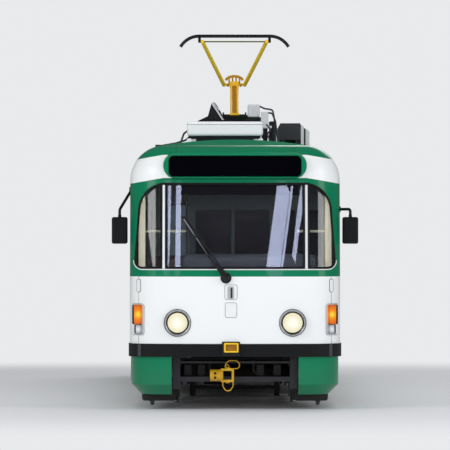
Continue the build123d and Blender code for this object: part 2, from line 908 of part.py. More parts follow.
# Lower arm: two tubes with a web, a pin at the base and a shaft at the knee
with BuildPart() as panto_lower_arm:
    for side in (-1, 1):
        add(
            rod(
                (side * 40, panto_y, panto_base_height),
                (side * 40, knee_y, knee_z),
                arm_tube_radius,
            )
        )
    with BuildSketch(Plane.YZ) as web:
        with BuildLine():
            Polyline(
                (panto_y, panto_base_height),
                (knee_y, knee_z),
                (knee_y, knee_z - 6),
                (panto_y, panto_base_height - 6),
                close=True,
            )
        make_face()
    extrude(amount=37, both=True)
    add(
        rod(
            (-base_bar_x - base_bar_width / 2, panto_y, panto_base_height),
            (base_bar_x + base_bar_width / 2, panto_y, panto_base_height),
            pin_radius,
        )
    )
    add(rod((-knee_half_width - 20, knee_y, knee_z), (knee_half_width + 20, knee_y, knee_z), pin_radius))
    with Locations((0, knee_y, knee_z)):
        Box(116, 80, 80)
    with Locations((0, panto_y, panto_base_height)):
        Box(116, 60, 60)
panto_lower_arm.part.label = "panto_lower_arm"
export_step(panto_lower_arm.part, "parts/panto_lower_arm.step")

head_shaft_radius = 10

# Upper arm: two tubes that spread to the head, with a bearing block at each end and a brace
brace_share = 0.62
with BuildPart() as panto_upper_arm:
    for side in (-1, 1):
        knee_x = side * knee_half_width
        head_x = side * head_half_width
        add(rod((knee_x, knee_y, knee_z), (head_x, head_y, head_z), arm_tube_radius))
        with Locations((knee_x, knee_y, knee_z)):
            Box(34, 50, 50)
        with Locations((head_x, head_y, head_z)):
            Box(34, 40, 40)
    brace_x = knee_half_width + (head_half_width - knee_half_width) * brace_share
    brace_y = knee_y + (head_y - knee_y) * brace_share
    brace_z = knee_z + (head_z - knee_z) * brace_share
    with Locations((0, brace_y, brace_z)):
        Box(2 * brace_x, 16, 16)
    add(
        rod((-200, knee_y, knee_z), (200, knee_y, knee_z), pin_radius + bearing_clearance),
        mode=Mode.SUBTRACT,
    )
    add(
        rod((-500, head_y, head_z), (500, head_y, head_z), head_shaft_radius + bearing_clearance),
        mode=Mode.SUBTRACT,
    )
panto_upper_arm.part.label = "panto_upper_arm"
export_step(panto_upper_arm.part, "parts/panto_upper_arm.step")

# Head: the bow, its two brackets and the shaft that carries them
bow_end = (bow_width - bow_straight) / 2
bow_end_radius = (bow_end**2 + bow_drop**2) / (2 * bow_drop)
bow_end_turn = degrees(atan2(bow_end, bow_end_radius - bow_drop))
bow_z = head_z + bow_rise
with BuildPart() as panto_head:
    with BuildSketch(Plane.XZ.offset(-head_y)):
        with BuildLine():
            half_bow = bow_thickness / 2
            end_centre = (bow_straight / 2, bow_z - bow_end_radius)
            Line((0, bow_z + half_bow), (bow_straight / 2, bow_z + half_bow))
            Line((0, bow_z - half_bow), (bow_straight / 2, bow_z - half_bow))
            outer_end = CenterArc(end_centre, bow_end_radius + half_bow, 90 - bow_end_turn, bow_end_turn)
            inner_end = CenterArc(end_centre, bow_end_radius - half_bow, 90 - bow_end_turn, bow_end_turn)
            Line(outer_end @ 0, inner_end @ 0)
            mirror(about=Plane.YZ)
        make_face()
    extrude(amount=half_bow, both=True)
    add(rod((-455, head_y, head_z), (455, head_y, head_z), head_shaft_radius))
    for side in (-1, 1):
        with Locations((side * 437, head_y, head_z + bow_rise / 2)):
            Box(22, 30, bow_rise)
panto_head.part.label = "panto_head"
export_step(panto_head.part, "parts/panto_head.step")

# Bogie frame, drawn about its own pivot
gearbox_rows = (
    # side of the gearbox, end of the bogie
    (1, 1),
    (-1, -1),
)
axle_y = wheelbase / 2
gearbox_x = 220
gearbox_y = axle_y - 20
gearbox_length = 380
motor_width = 320
with BuildPart() as bogie_frame:
    for side in (-1, 1):
        with Locations((side * beam_offset, 0, 385)):
            Box(beam_width, 2 * axle_y + 400, 170)
        for end in (-1, 1):
            add(
                rod(
                    (side * (beam_offset - 55), end * axle_y, flange_radius),
                    (side * (beam_offset + 55), end * axle_y, flange_radius),
                    140,
                )
            )
    for end in (-1, 1):
        with Locations((0, end * (axle_y + 170), 385)):
            Box(2 * beam_offset, 60, 110)
    with Locations((0, 0, bolster_top - 80)):
        Box(2 * beam_offset + beam_width, bolster_width, 160)
    for side, end in gearbox_rows:
        with Locations((side * gearbox_x, end * gearbox_y, flange_radius)):
            Box(280, gearbox_length, 260)
    with Locations((0, 0, bolster_top - 90)):
        Cylinder(
            pivot_radius + pivot_clearance,
            200,
            align=(Align.CENTER, Align.CENTER, Align.MIN),
            mode=Mode.SUBTRACT,
        )
    for end in (-1, 1):
        add(
            rod(
                (-wheel_back, end * axle_y, flange_radius),
                (wheel_back, end * axle_y, flange_radius),
                axle_radius + bearing_clearance,
            ),
            mode=Mode.SUBTRACT,
        )

# Motors of one bogie, between its bolster and its gearboxes
with BuildPart() as bogie_motors:
    for side, end in gearbox_rows:
        add(
            block(
                (side * gearbox_x - motor_width / 2, side * gearbox_x + motor_width / 2),
                sorted((end * bolster_width / 2, end * (gearbox_y - gearbox_length / 2))),
                (flange_radius - motor_width / 2, flange_radius + motor_width / 2),
            )
        )

# Magnetic rail brakes of one bogie, hung from its beams
beam_face = beam_offset + beam_width / 2
with BuildPart() as bogie_brakes:
    for side in (-1, 1):
        with Locations((side * 755, 0, 105)):
            Box(80, 860, 90)
        for hanger_y in (-270, 270):
            with Locations((side * (beam_face + 790) / 2, hanger_y, 370)):
                Box(790 - beam_face, 40, 40)
            with Locations((side * 770, hanger_y, 260)):
                Box(40, 40, 240)

# Wheelset: the axle and both wheels, turned in one
with BuildPart() as wheelset:
    with BuildSketch(Plane.XY):
        with BuildLine():
            Polyline(
                (0, 0),
                (0, axle_radius),
                (wheel_back, axle_radius),
                (wheel_back, flange_radius),
                (wheel_back + flange_width, flange_radius),
                (wheel_back + flange_width, tread_radius),
                (wheel_back + wheel_width, tread_radius),
                (wheel_back + wheel_width, 0),
                close=True,
            )
        make_face()
    revolve(axis=Axis.X)
    mirror(about=Plane.YZ)

for bogie_name, bogie_y in (("front", -bogie_offset), ("rear", bogie_offset)):
    with BuildPart() as bogie:
        with Locations((0, bogie_y, 0)):
            add(bogie_frame.part)
    bogie.part.label = f"bogie_{bogie_name}"
    export_step(bogie.part, f"parts/bogie_{bogie_name}.step")
    with BuildPart() as motors:
        with Locations((0, bogie_y, 0)):
            add(bogie_motors.part)
    motors.part.label = f"motors_{bogie_name}"
    export_step(motors.part, f"parts/motors_{bogie_name}.step")
    with BuildPart() as brakes:
        with Locations((0, bogie_y, 0)):
            add(bogie_brakes.part)
    brakes.part.label = f"rail_brakes_{bogie_name}"
    export_step(brakes.part, f"parts/rail_brakes_{bogie_name}.step")
    for axle_name, axle_offset in (("fore", -axle_y), ("aft", axle_y)):
        with BuildPart() as axle:
            with Locations((0, bogie_y + axle_offset, flange_radius)):
                add(wheelset.part)
        axle.part.label = f"wheelset_{bogie_name}_{axle_name}"
        export_step(axle.part, f"parts/wheelset_{bogie_name}_{axle_name}.step")

# Door leaves: at each jamb a hinged leaf and, beyond it, a folding wing
leaf_outer = leaf_inset - half_width
leaf_bottom = sill_height + 8
leaf_top = cantrail_height - door_clearance
door_rows = (
    # doorway, middle of the doorway
    ("front", -door_pitch),
    ("middle", 0),
    ("rear", door_pitch),
)
pair_rows = (
    # pair, direction from its jamb into the doorway
    ("fore", 1),
    ("aft", -1),
)
panel_rows = (
    # panel, gap widths from the jamb, leaf widths from the jamb
    ("leaf", 1, 0),
    ("wing", 2, 1),
)
for door_name, door_y in door_rows:
    for pair_name, inward in pair_rows:
        jamb = door_y - inward * door_width / 2
        for panel_name, gaps, leaves in panel_rows:
            near = jamb + inward * (gaps * door_clearance + leaves * leaf_width)
            middle = near + inward * leaf_width / 2
            with BuildPart() as panel:
                with Locations((leaf_outer + leaf_thickness / 2, middle, (leaf_bottom + leaf_top) / 2)):
                    Box(leaf_thickness, leaf_width, leaf_top - leaf_bottom)
                with BuildSketch(Plane.YZ):
                    with Locations((middle, sum(leaf_window) / 2)):
                        Rectangle(leaf_window_width, leaf_window[1] - leaf_window[0])
                extrude(amount=-body_width, mode=Mode.SUBTRACT)
            panel.part.label = f"door_{door_name}_{pair_name}_{panel_name}"
            export_step(panel.part, f"parts/door_{door_name}_{pair_name}_{panel_name}.step")

# Passenger seats and the driver's seat, each a bent shell on a pedestal
seat_pitch = 780
seat_width = 430
seat_height = floor_height + 420
shell_thickness = 40
pedestal_size = 70
first_seat_y = 490 - cab_depth
seat_rows = (
    # x, first y, number of seats
    (850, first_seat_y, 13),
    (-850, first_seat_y, 4),
    (-850, 1150, 4),
    (250, -seam + 550, 1),
)
with BuildPart() as seats:
    for seat_x, first_y, count in seat_rows:
        for index in range(count):
            seat_y = first_y + index * seat_pitch
            with BuildSketch(Plane.YZ.offset(seat_x - seat_width / 2)):
                with BuildLine():
                    Polyline(
                        (seat_y - 210, seat_height - shell_thickness),
                        (seat_y + 200, seat_height - shell_thickness),
                        (seat_y + 260, seat_height + 440),
                        (seat_y + 260 - shell_thickness, seat_height + 440),
                        (seat_y + 200 - shell_thickness, seat_height),
                        (seat_y - 210, seat_height),
                        close=True,
                    )
                make_face()
            extrude(amount=seat_width)
            with Locations((seat_x, seat_y, floor_height)):
                Box(
                    pedestal_size,
                    pedestal_size,
                    seat_height - shell_thickness - floor_height,
                    align=(Align.CENTER, Align.CENTER, Align.MIN),
                )
seats.part.label = "seats"
export_step(seats.part, "parts/seats.step")

# Handrails: uprights from floor to ceiling, and two rails hung from the ceiling beside them
pole_radius = 17
rail_radius = 14
rail_height = 2750
hanger_width = 16
pole_rows = (
    # x, y
    (-520, -3900),
    (-520, -1000),
    (-520, 1000),
    (-520, 3900),
    (560, -1950),
    (560, 1950),
)
rail_rows = (
    # x, places of its hangers along the tram
    (-440, (-4200, 0, 5600)),
    (480, (-4200, 0, 5600)),
)


def ceiling_height(reach):
    """The height of the curved ceiling at a distance from the middle."""
    return crown_centre + sqrt((crown_radius - wall) ** 2 - reach**2)


with BuildPart() as handrails:
    for pole_x, pole_y in pole_rows:
        with Locations((pole_x, pole_y, floor_height)):
            Cylinder(
                pole_radius,
                ceiling_height(abs(pole_x) + pole_radius) - floor_height,
                align=(Align.CENTER, Align.CENTER, Align.MIN),
            )
    for middle_x, hangers in rail_rows:
        start = (middle_x, hangers[0] - 200, rail_height)
        add(rod(start, (middle_x, hangers[-1] + 200, rail_height), rail_radius))
        for hanger_y in hangers:
            with Locations((middle_x, hanger_y, rail_height)):
                Box(
                    hanger_width,
                    hanger_width,
                    ceiling_height(abs(middle_x) + hanger_width / 2) - rail_height,
                    align=(Align.CENTER, Align.CENTER, Align.MIN),
                )
handrails.part.label = "handrails"
export_step(handrails.part, "parts/handrails.step")

# Cab partition behind the driver
partition_panes = (
    # from, to across the tram
    (-480, -40),
    (0, 430),
    (480, 1060),
)
pane_z_limits = (1810, 2370)
with BuildPart() as cab_partition:
    add(
        block(
            (-560, half_width),
            (-cab_depth - partition_thickness / 2, -cab_depth + partition_thickness / 2),
            (floor_height, roof_height),
        )
    )
    add(inner_form, mode=Mode.INTERSECT)
    with BuildSketch(Plane.XZ):
        for low, high in partition_panes:
            with Locations(((low + high) / 2, sum(pane_z_limits) / 2)):
                Rectangle(high - low, pane_z_limits[1] - pane_z_limits[0])
    extrude(amount=body_length, mode=Mode.SUBTRACT)
cab_partition.part.label = "cab_partition"
export_step(cab_partition.part, "parts/cab_partition.step")

# Driver's desk, a console with a raised hood
desk_front = -half_length + 280
desk_x_limits = (-620, 940)
with BuildPart() as driver_desk:
    with BuildSketch(Plane.YZ.offset(desk_x_limits[0])):
        with BuildLine():
            Polyline(
                (desk_front, floor_height),
                (desk_front, 1790),
                (desk_front + 80, 1830),
                (desk_front + 200, 1815),
                (desk_front + 240, 1690),
                (desk_front + 460, 1640),
                (desk_front + 460, 1580),
                (desk_front + 300, 1540),
                (desk_front + 300, floor_height),
                close=True,
            )
        make_face()
    extrude(amount=desk_x_limits[1] - desk_x_limits[0])
driver_desk.part.label = "driver_desk"
export_step(driver_desk.part, "parts/driver_desk.step")

# Lifeguard ahead of the front bogie, hung from the sills
guard_inner = sill_offset + sill_width / 2
guard_y = -bogie_offset - 1535
guard_bottom = 98
with BuildPart() as lifeguard:
    for side in (-1, 1):
        add(
            block(
                sorted((side * guard_inner, side * (guard_inner + 70))),
                (guard_y - 30, guard_y + 30),
                (guard_bottom, member_bottom - 30),
            )
        )
    add(block((-guard_inner, guard_inner), (guard_y - 15, guard_y + 20), (180, 222)))
lifeguard.part.label = "lifeguard"
export_step(lifeguard.part, "parts/lifeguard.step")

# Equipment cases under the floor between the bogies
case_rows = (
    # x limits, y limits
    ((500, 1080), (-1650, -750)),
    ((500, 1080), (750, 1650)),
    ((-1080, -500), (-1650, -750)),
    ((-1080, -500), (750, 1650)),
)
with BuildPart() as underfloor_boxes:
    for x_limits, y_limits in case_rows:
        add(block(x_limits, y_limits, (300, member_bottom)))
underfloor_boxes.part.label = "underfloor_boxes"
export_step(underfloor_boxes.part, "parts/underfloor_boxes.step")
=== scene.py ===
import bmesh
import bpy
from math import asin, atan2, cos, pi, radians, sin, sqrt, tan
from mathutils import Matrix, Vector


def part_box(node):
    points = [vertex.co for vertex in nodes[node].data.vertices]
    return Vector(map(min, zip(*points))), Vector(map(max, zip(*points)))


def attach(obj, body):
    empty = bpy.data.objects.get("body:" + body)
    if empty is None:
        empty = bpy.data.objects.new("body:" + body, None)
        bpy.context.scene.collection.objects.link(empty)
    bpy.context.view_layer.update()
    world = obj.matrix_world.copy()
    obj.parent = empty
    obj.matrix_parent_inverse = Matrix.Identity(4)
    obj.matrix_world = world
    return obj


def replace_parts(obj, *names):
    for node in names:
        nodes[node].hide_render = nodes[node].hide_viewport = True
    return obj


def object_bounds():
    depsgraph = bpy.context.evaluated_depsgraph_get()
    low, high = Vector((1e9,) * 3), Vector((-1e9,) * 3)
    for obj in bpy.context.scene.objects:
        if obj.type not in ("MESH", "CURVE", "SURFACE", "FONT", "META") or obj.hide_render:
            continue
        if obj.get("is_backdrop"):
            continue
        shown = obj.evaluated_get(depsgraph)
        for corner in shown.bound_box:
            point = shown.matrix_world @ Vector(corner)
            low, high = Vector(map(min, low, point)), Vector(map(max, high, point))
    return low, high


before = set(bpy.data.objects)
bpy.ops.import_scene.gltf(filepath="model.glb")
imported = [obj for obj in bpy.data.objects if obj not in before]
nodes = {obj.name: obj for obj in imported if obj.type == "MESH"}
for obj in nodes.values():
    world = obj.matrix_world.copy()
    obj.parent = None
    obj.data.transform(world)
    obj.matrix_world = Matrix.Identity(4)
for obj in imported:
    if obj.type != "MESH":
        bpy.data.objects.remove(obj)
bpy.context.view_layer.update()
scene = bpy.context.scene

# The viewpoint: straight ahead of the nose and level with the middle of the windscreen, so far away
# that the front is seen almost without perspective.
VIEW_DISTANCE = 59.0
VIEW_HEIGHT = 2.1865
VIEW_SIDE = -0.119
VIEW_REACH = 400
LONG_LENS = 400
SENSOR_WIDTH = 36
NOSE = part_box("front_mask")[0].y

camera_data = bpy.data.cameras.new("viewpoint")
camera_data.lens = LONG_LENS
camera_data.sensor_width = SENSOR_WIDTH
camera_data.clip_end = VIEW_REACH
camera = bpy.data.objects.new("viewpoint", camera_data)
camera.location = (VIEW_SIDE, NOSE - VIEW_DISTANCE, VIEW_HEIGHT)
camera.rotation_euler = (radians(90), 0, 0)
scene.collection.objects.link(camera)
scene.camera = camera

# The studio: a pale floor under a pale even sky, with soft rectangular lamps to the left, to the
# right, behind, above and ahead. Far out the floor glows in its own colour, so no horizon shows.
PAPER_GREY = "e9eaec"
SKY_COLOUR = "f9fafd"
FLOOR_HALF = 60.0
GLOW_STARTS = 9.0
GLOW_FULL = 15.0
SKY_STRENGTH = 0.42
MIRRORED_SKY = 0.11


def linear(colour):
    """An sRGB hex colour as the linear values that shaders take."""
    channels = [int(colour[i : i + 2], 16) / 255 for i in (0, 2, 4)]
    return tuple(c / 12.92 if c <= 0.04045 else ((c + 0.055) / 1.055) ** 2.4 for c in channels) + (1,)


def node(tree, kind, inputs=None, **settings):
    """Adds a node with its settings and inputs: a value, a hex colour, a socket, or a node, whose
    first output is meant."""
    made = tree.nodes.new(kind)
    for name, value in settings.items():
        setattr(made, name, value)
    for name, value in (inputs or {}).items():
        if isinstance(value, bpy.types.Node):
            value = next(socket for socket in value.outputs if socket.enabled)
        if isinstance(value, bpy.types.NodeSocket):
            tree.links.new(value, made.inputs[name])
        else:
            made.inputs[name].default_value = linear(value) if isinstance(value, str) else value
    return made


def material(name):
    """A new material and its empty node tree."""
    made = bpy.data.materials.new(name)
    made.use_nodes = True
    made.node_tree.nodes.clear()
    return made, made.node_tree


def lamp(name, place, aim, size, power, colour="ffffff"):
    """A rectangular soft lamp at a place, pointed at a point."""
    data = bpy.data.lights.new(name, "AREA")
    data.shape = "RECTANGLE"
    data.size, data.size_y = size
    data.energy = power
    data.color = linear(colour)[:3]
    made = bpy.data.objects.new(name, data)
    made.location = place
    made.rotation_euler = (Vector(aim) - Vector(place)).to_track_quat("-Z", "Y").to_euler()
    made.visible_camera = False
    scene.collection.objects.link(made)
    return made


# Studio paper: matt, with the faintest speckle, one patch each third of a metre.
studio_paper, tree = material("studio_paper")
speck = node(tree, "ShaderNodeTexNoise", {"Scale": 3.0, "Detail": 2.0})
tone = node(tree, "ShaderNodeMapRange", {"Value": speck, "To Min": 0.985, "To Max": 1.0})
paper = node(tree, "ShaderNodeMix", {"Factor": tone, "A": "000000", "B": PAPER_GREY}, data_type="RGBA")
shader = node(tree, "ShaderNodeBsdfPrincipled", {"Base Color": paper, "Roughness": 0.9})
here = node(tree, "ShaderNodeTexCoord").outputs["Object"]
away = node(tree, "ShaderNodeVectorMath", {0: here}, operation="LENGTH")
reach = {"Value": away, "From Min": GLOW_STARTS, "From Max": GLOW_FULL}
far = node(tree, "ShaderNodeMapRange", reach, interpolation_type="SMOOTHSTEP")
seen = node(tree, "ShaderNodeLightPath").outputs["Is Camera Ray"]
open_floor = node(tree, "ShaderNodeMath", {0: seen, 1: far}, operation="MULTIPLY")
glow = node(tree, "ShaderNodeEmission", {"Color": PAPER_GREY, "Strength": 1.0})
floor_mix = node(tree, "ShaderNodeMixShader", {0: open_floor, 1: shader, 2: glow})
node(tree, "ShaderNodeOutputMaterial", {"Surface": floor_mix})

floor_mesh = bpy.data.meshes.new("studio_floor")
corners = [(-1, -1), (1, -1), (1, 1), (-1, 1)]
floor_mesh.from_pydata([(x * FLOOR_HALF, y * FLOOR_HALF, 0) for x, y in corners], [], [(0, 1, 2, 3)])
floor_mesh.materials.append(studio_paper)
studio_floor = bpy.data.objects.new("studio_floor", floor_mesh)
scene.collection.objects.link(studio_floor)
studio_floor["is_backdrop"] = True

# The sky is dimmer in mirror-like surfaces than on the rest, so glass stays dark.
world = bpy.data.worlds.new("studio_sky")
scene.world = world
world.use_nodes = True
sky = world.node_tree
sky.nodes.clear()
ray = node(sky, "ShaderNodeLightPath")
shine = {"Value": ray.outputs["Is Glossy Ray"], "To Min": SKY_STRENGTH, "To Max": MIRRORED_SKY}
strength = node(sky, "ShaderNodeMapRange", shine)
lit = node(sky, "ShaderNodeBackground", {"Color": SKY_COLOUR, "Strength": strength})
seen = node(sky, "ShaderNodeBackground", {"Color": PAPER_GREY, "Strength": 1.0})
blend = node(sky, "ShaderNodeMixShader", {0: ray.outputs["Is Camera Ray"], 1: lit, 2: seen})
node(sky, "ShaderNodeOutputWorld", {"Surface": blend})
scene.view_settings.view_transform = "Standard"

for name, place, aim, size, power, in_mirrors in (
    ("lamp_left", (-13, -17, 11), (0, -4, 1.5), (9, 9), 1000, True),
    ("lamp_right", (15, -15, 9), (0, -4, 1.5), (7, 9), 700, True),
    ("lamp_rear", (6, 20, 13), (0, 4, 2), (12, 6), 900, True),
    ("lamp_top", (0, 0, 13), (0, -5, 3), (9, 9), 400, False),
    ("lamp_front", (1, -34, 5), (0, -7, 1.6), (10, 5), 2300, False),
):
    lamp(name, place, aim, size, power).visible_glossy = in_mirrors

# The bodywork: welded sheet steel in gloss enamel, green below and above with a white waist and a
# white band over the windows, polished over years of washing. Inside it is lined with pale laminate.
HALF_WIDTH = 1.25
BOW = 5.0
CORNER = 0.42
CORNER_X = HALF_WIDTH - CORNER
CORNER_BACK = BOW - sqrt((BOW - CORNER) ** 2 - CORNER_X**2)
BOW_TURN = atan2(CORNER_X, BOW - CORNER_BACK)
RAKE = radians(10)
SKIRT_TOP = 0.629
BELT = 1.577
BAND_MIDDLE = 2.815
BAND_HALF = 0.138
BAND_RISE = 0.067
BAND_RISEN_X = 0.85
DOME = 2.7174
DOME_BACK = 0.2131
CAB_Y = -6.2
SCREEN_MIDDLE = 2.18
SCREEN_HALF = 0.508
DIVIDER_X = 0.845
DIVIDER_HALF = 0.0155
SEAM_X = 1.140
SEAM_HALF = 0.0022
DOME_SEAM_X = 0.700
DOME_SEAM_Z = 3.045
DOME_SEAM_HALF = 0.0026
BODY_MIDDLE = 1.9
GREEN = "007c54"
DEEP_GREEN = "00734e"
WHITE = "eef0ef"
LINING = "c9c6b4"
SEAM_SHADE = "2a302e"
ROAD_DUST = "5c5a50"


def plan_depth(x, shrink=0.0):
    """How far the body's plan has curved back from its foremost point, at a place across it."""
    reach = min(abs(x), HALF_WIDTH - shrink)
    if reach < (BOW - shrink) * sin(BOW_TURN):
        return BOW - sqrt((BOW - shrink) ** 2 - reach**2)
    return CORNER_BACK - sqrt(max((CORNER - shrink) ** 2 - (reach - CORNER_X) ** 2, 0.0))


def nose_y(x, z):
    """Where the front's outer face lies at a point seen from straight ahead."""
    if z > DOME:
        shrink = CORNER - sqrt(max(CORNER**2 - (z - DOME) ** 2, 0.0))
        return NOSE + DOME_BACK + shrink + plan_depth(x, shrink) - shrink
    deep = plan_depth(x)
    return NOSE + max(deep, deep / cos(RAKE) + (z - BELT) * tan(RAKE))


def dress(paint, *names):
    """Gives CAD nodes a material."""
    for name in names:
        for place in nodes[name].material_slots:
            place.material = paint


# Gloss enamel: deep green that fades in patches of 600 mm, masked for the white, with the dark
# hairlines of the panel seams, grime in patches of 200 mm that turns to road dust low down, and the
# slight ripple of welded sheet, a metre from crest to crest.
gloss_enamel, tree = material("gloss_enamel")
place = node(tree, "ShaderNodeTexCoord")
here = place.outputs["Object"]
split = node(tree, "ShaderNodeSeparateXYZ", {0: here})
height = split.outputs["Z"]
side = node(tree, "ShaderNodeMath", {0: split.outputs["X"]}, operation="ABSOLUTE")
bend = {"Value": side, "From Min": HALF_WIDTH, "From Max": BAND_RISEN_X, "To Min": 0.0, "To Max": BAND_RISE}
rise = node(tree, "ShaderNodeMapRange", bend)
# Each mask's name, operation and terms, which are numbers or masks named above it.
masks = {"side": side, "height": height, "along": split.outputs["Y"], "rise": rise}
for name, operation, *terms in (
    ("level", "SUBTRACT", "height", "rise"),
    ("over_skirt", "GREATER_THAN", "height", SKIRT_TOP),
    ("under_belt", "LESS_THAN", "height", BELT),
    ("waist", "MULTIPLY", "over_skirt", "under_belt"),
    ("band", "COMPARE", "level", BAND_MIDDLE, BAND_HALF),
    ("divider", "COMPARE", "side", DIVIDER_X, DIVIDER_HALF),
    ("screen", "COMPARE", "height", SCREEN_MIDDLE, SCREEN_HALF),
    ("ahead", "LESS_THAN", "along", CAB_Y),
    ("bars", "MULTIPLY", "divider", "screen"),
    ("front_bars", "MULTIPLY", "bars", "ahead"),
    ("band_or_bar", "MAXIMUM", "band", "front_bars"),
    ("white", "MAXIMUM", "waist", "band_or_bar"),
    ("side_seam", "COMPARE", "side", SEAM_X, SEAM_HALF),
    ("front_seam", "MULTIPLY", "side_seam", "ahead"),
    ("low_seam", "MULTIPLY", "front_seam", "waist"),
    ("dome_seam", "COMPARE", "side", DOME_SEAM_X, DOME_SEAM_HALF),
    ("high", "GREATER_THAN", "height", DOME_SEAM_Z),
    ("high_seam", "MULTIPLY", "dome_seam", "high"),
    ("nose_seam", "MULTIPLY", "high_seam", "ahead"),
    ("seams", "MAXIMUM", "low_seam", "nose_seam"),
):
    inputs = {i: masks.get(term, term) for i, term in enumerate(terms)}
    masks[name] = node(tree, "ShaderNodeMath", inputs, operation=operation)
grime = node(tree, "ShaderNodeTexNoise", {"Vector": here, "Scale": 5.0, "Detail": 8.0})
ground = {"Value": height, "From Min": 0.15, "From Max": 0.6, "To Min": 0.25, "To Max": 0.0}
near_ground = node(tree, "ShaderNodeMapRange", ground)
dusty = node(tree, "ShaderNodeMath", {0: grime, 1: near_ground}, operation="MULTIPLY")
outward = node(tree, "ShaderNodeVectorMath", {0: here, 1: (0, 0, BODY_MIDDLE)}, operation="SUBTRACT")
way = {0: outward, 1: place.outputs["Normal"]}
faces_out = node(tree, "ShaderNodeVectorMath", way, operation="DOT_PRODUCT")
inside = node(tree, "ShaderNodeMath", {0: faces_out, 1: 0.0}, operation="LESS_THAN")
fade = node(tree, "ShaderNodeTexNoise", {"Vector": here, "Scale": 1.6, "Detail": 5.0})
colour = node(tree, "ShaderNodeMix", {"Factor": fade, "A": DEEP_GREEN, "B": GREEN}, data_type="RGBA")
for mask, over in (
    (masks["white"], WHITE),
    (masks["seams"], SEAM_SHADE),
    (dusty, ROAD_DUST),
    (inside, LINING),
):
    colour = node(tree, "ShaderNodeMix", {"Factor": mask, "A": colour, "B": over}, data_type="RGBA")
polish = node(tree, "ShaderNodeMapRange", {"Value": grime, "To Min": 0.24, "To Max": 0.42})
sheet = node(tree, "ShaderNodeTexNoise", {"Vector": here, "Scale": 0.9, "Detail": 1.0})
ripple = node(tree, "ShaderNodeBump", {"Height": sheet, "Strength": 0.05, "Distance": 0.02})
gloss = {"Specular IOR Level": 0.2, "Coat Weight": 0.25, "Coat Roughness": 0.05}
inputs = {"Base Color": colour, "Roughness": polish, "Normal": ripple, **gloss}
shader = node(tree, "ShaderNodeBsdfPrincipled", inputs)
node(tree, "ShaderNodeOutputMaterial", {"Surface": shader})
doors = sorted(name for name in nodes if name.startswith("door_"))
dress(gloss_enamel, "front_mask", "rear_mask", "roof", "wall_left", "wall_right", "skirts", *doors)

# The windscreen's rubber: each pane sits in its own black moulded gasket, and a white trim strip is
# pressed in along the outside under them.
PANE_X = 1.203
PANE_TOP_X = 1.126
PANE_Z = (1.667, 2.688)
PANE_BOTTOM_ROUND = 0.095
PANE_TOP_ROUND = 0.330
PANE_INNER_ROUND = 0.015
GASKET = 0.026
GASKET_DEPTH = 0.030
DIVIDER = 0.015
TRIM_END = 1.86
TRIM_OUT = 0.006


def arc(back, here, on, radius, steps):
    """The points of a rounded corner between its two neighbours."""
    one, two = (back - here).normalized(), (on - here).normalized()
    half = one.angle(two) / 2
    centre = here + (one + two).normalized() * (radius / sin(half))
    start, end = (here + way * (radius / tan(half)) - centre for way in (one, two))
    return [centre + start.lerp(end, k / steps).normalized() * radius for k in range(steps + 1)]


def rounded(corners, steps):
    """A closed outline from corners given as (x, z, radius)."""
    places = [Vector(corner[:2]) for corner in corners]
    line = []
    for i, here in enumerate(places):
        radius = corners[i][2]
        after = places[(i + 1) % len(places)]
        line += arc(places[i - 1], here, after, radius, steps) if radius else [here]
    return line


def rectangle(x_limits, z_limits, radius, steps=6):
    """A rectangle with rounded corners, as a closed outline."""
    (left, right), (low, high) = x_limits, z_limits
    corners = [(left, low), (right, low), (right, high), (left, high)]
    return rounded([(*corner, radius) for corner in corners], steps)


def drawn_in(limits, inset):
    """Limits moved towards each other by an inset."""
    return (limits[0] + inset, limits[1] - inset)


def dense(line, step):
    """The same closed outline with no side longer than a step."""
    made = []
    for point, after in zip(line, line[1:] + line[:1]):
        parts = max(1, int((after - point).length / step))
        made += [point.lerp(after, k / parts) for k in range(parts)]
    return made


def facing(x):
    """Which way the lower body faces at a place across its front, as a unit vector."""
    if abs(x) < BOW * sin(BOW_TURN):
        return Vector((x / BOW, -sqrt(1 - (x / BOW) ** 2), 0))
    turn = min((abs(x) - CORNER_X) / CORNER, 1.0)
    return Vector((turn if x > 0 else -turn, -sqrt(1 - turn**2), 0))


def on_nose(x, z, proud=0.0):
    """A point that stands proud of the front."""
    return Vector((x, nose_y(x, z), z)) + facing(x) * proud


def laid(line, proud=0.0):
    """A flat outline laid on the front, standing proud of it."""
    return [on_nose(p.x, p.y, proud) for p in line]


def woven(rows, size, closed):
    """The faces between rows of points that are rings of one size; closed joins the last to the first."""
    faces = []
    for i in range(rows if closed else rows - 1):
        j = (i + 1) % rows
        for k in range(size):
            m = (k + 1) % size
            faces.append((i * size + k, i * size + m, j * size + m, j * size + k))
    return faces


def sweep(path, section, up, closed=True):
    """Carries a section along a path, as vertices and faces; the section's height points up."""
    corners = []
    count, size = len(path), len(section)
    for i, point in enumerate(path):
        before = path[i - 1] if closed or i else point
        after = path[(i + 1) % count] if closed or i < count - 1 else point
        along = (after - before).normalized()
        across = along.cross(Vector(up)).normalized()
        rising = across.cross(along)
        corners += [point + across * u + rising * v for u, v in section]
    faces = woven(count, size, closed)
    if not closed:
        faces.append(tuple(range(size))[::-1])
        faces.append(tuple((count - 1) * size + k for k in range(size)))
    return corners, faces


def slab(width, depth, edge):
    """A section for a sweep: a rectangle with its edges taken off."""
    w, d = width / 2, depth / 2
    one_side = [(-w, edge - d), (-w, d - edge), (edge - w, d), (w - edge, d)]
    return one_side + [(-u, -v) for u, v in one_side]


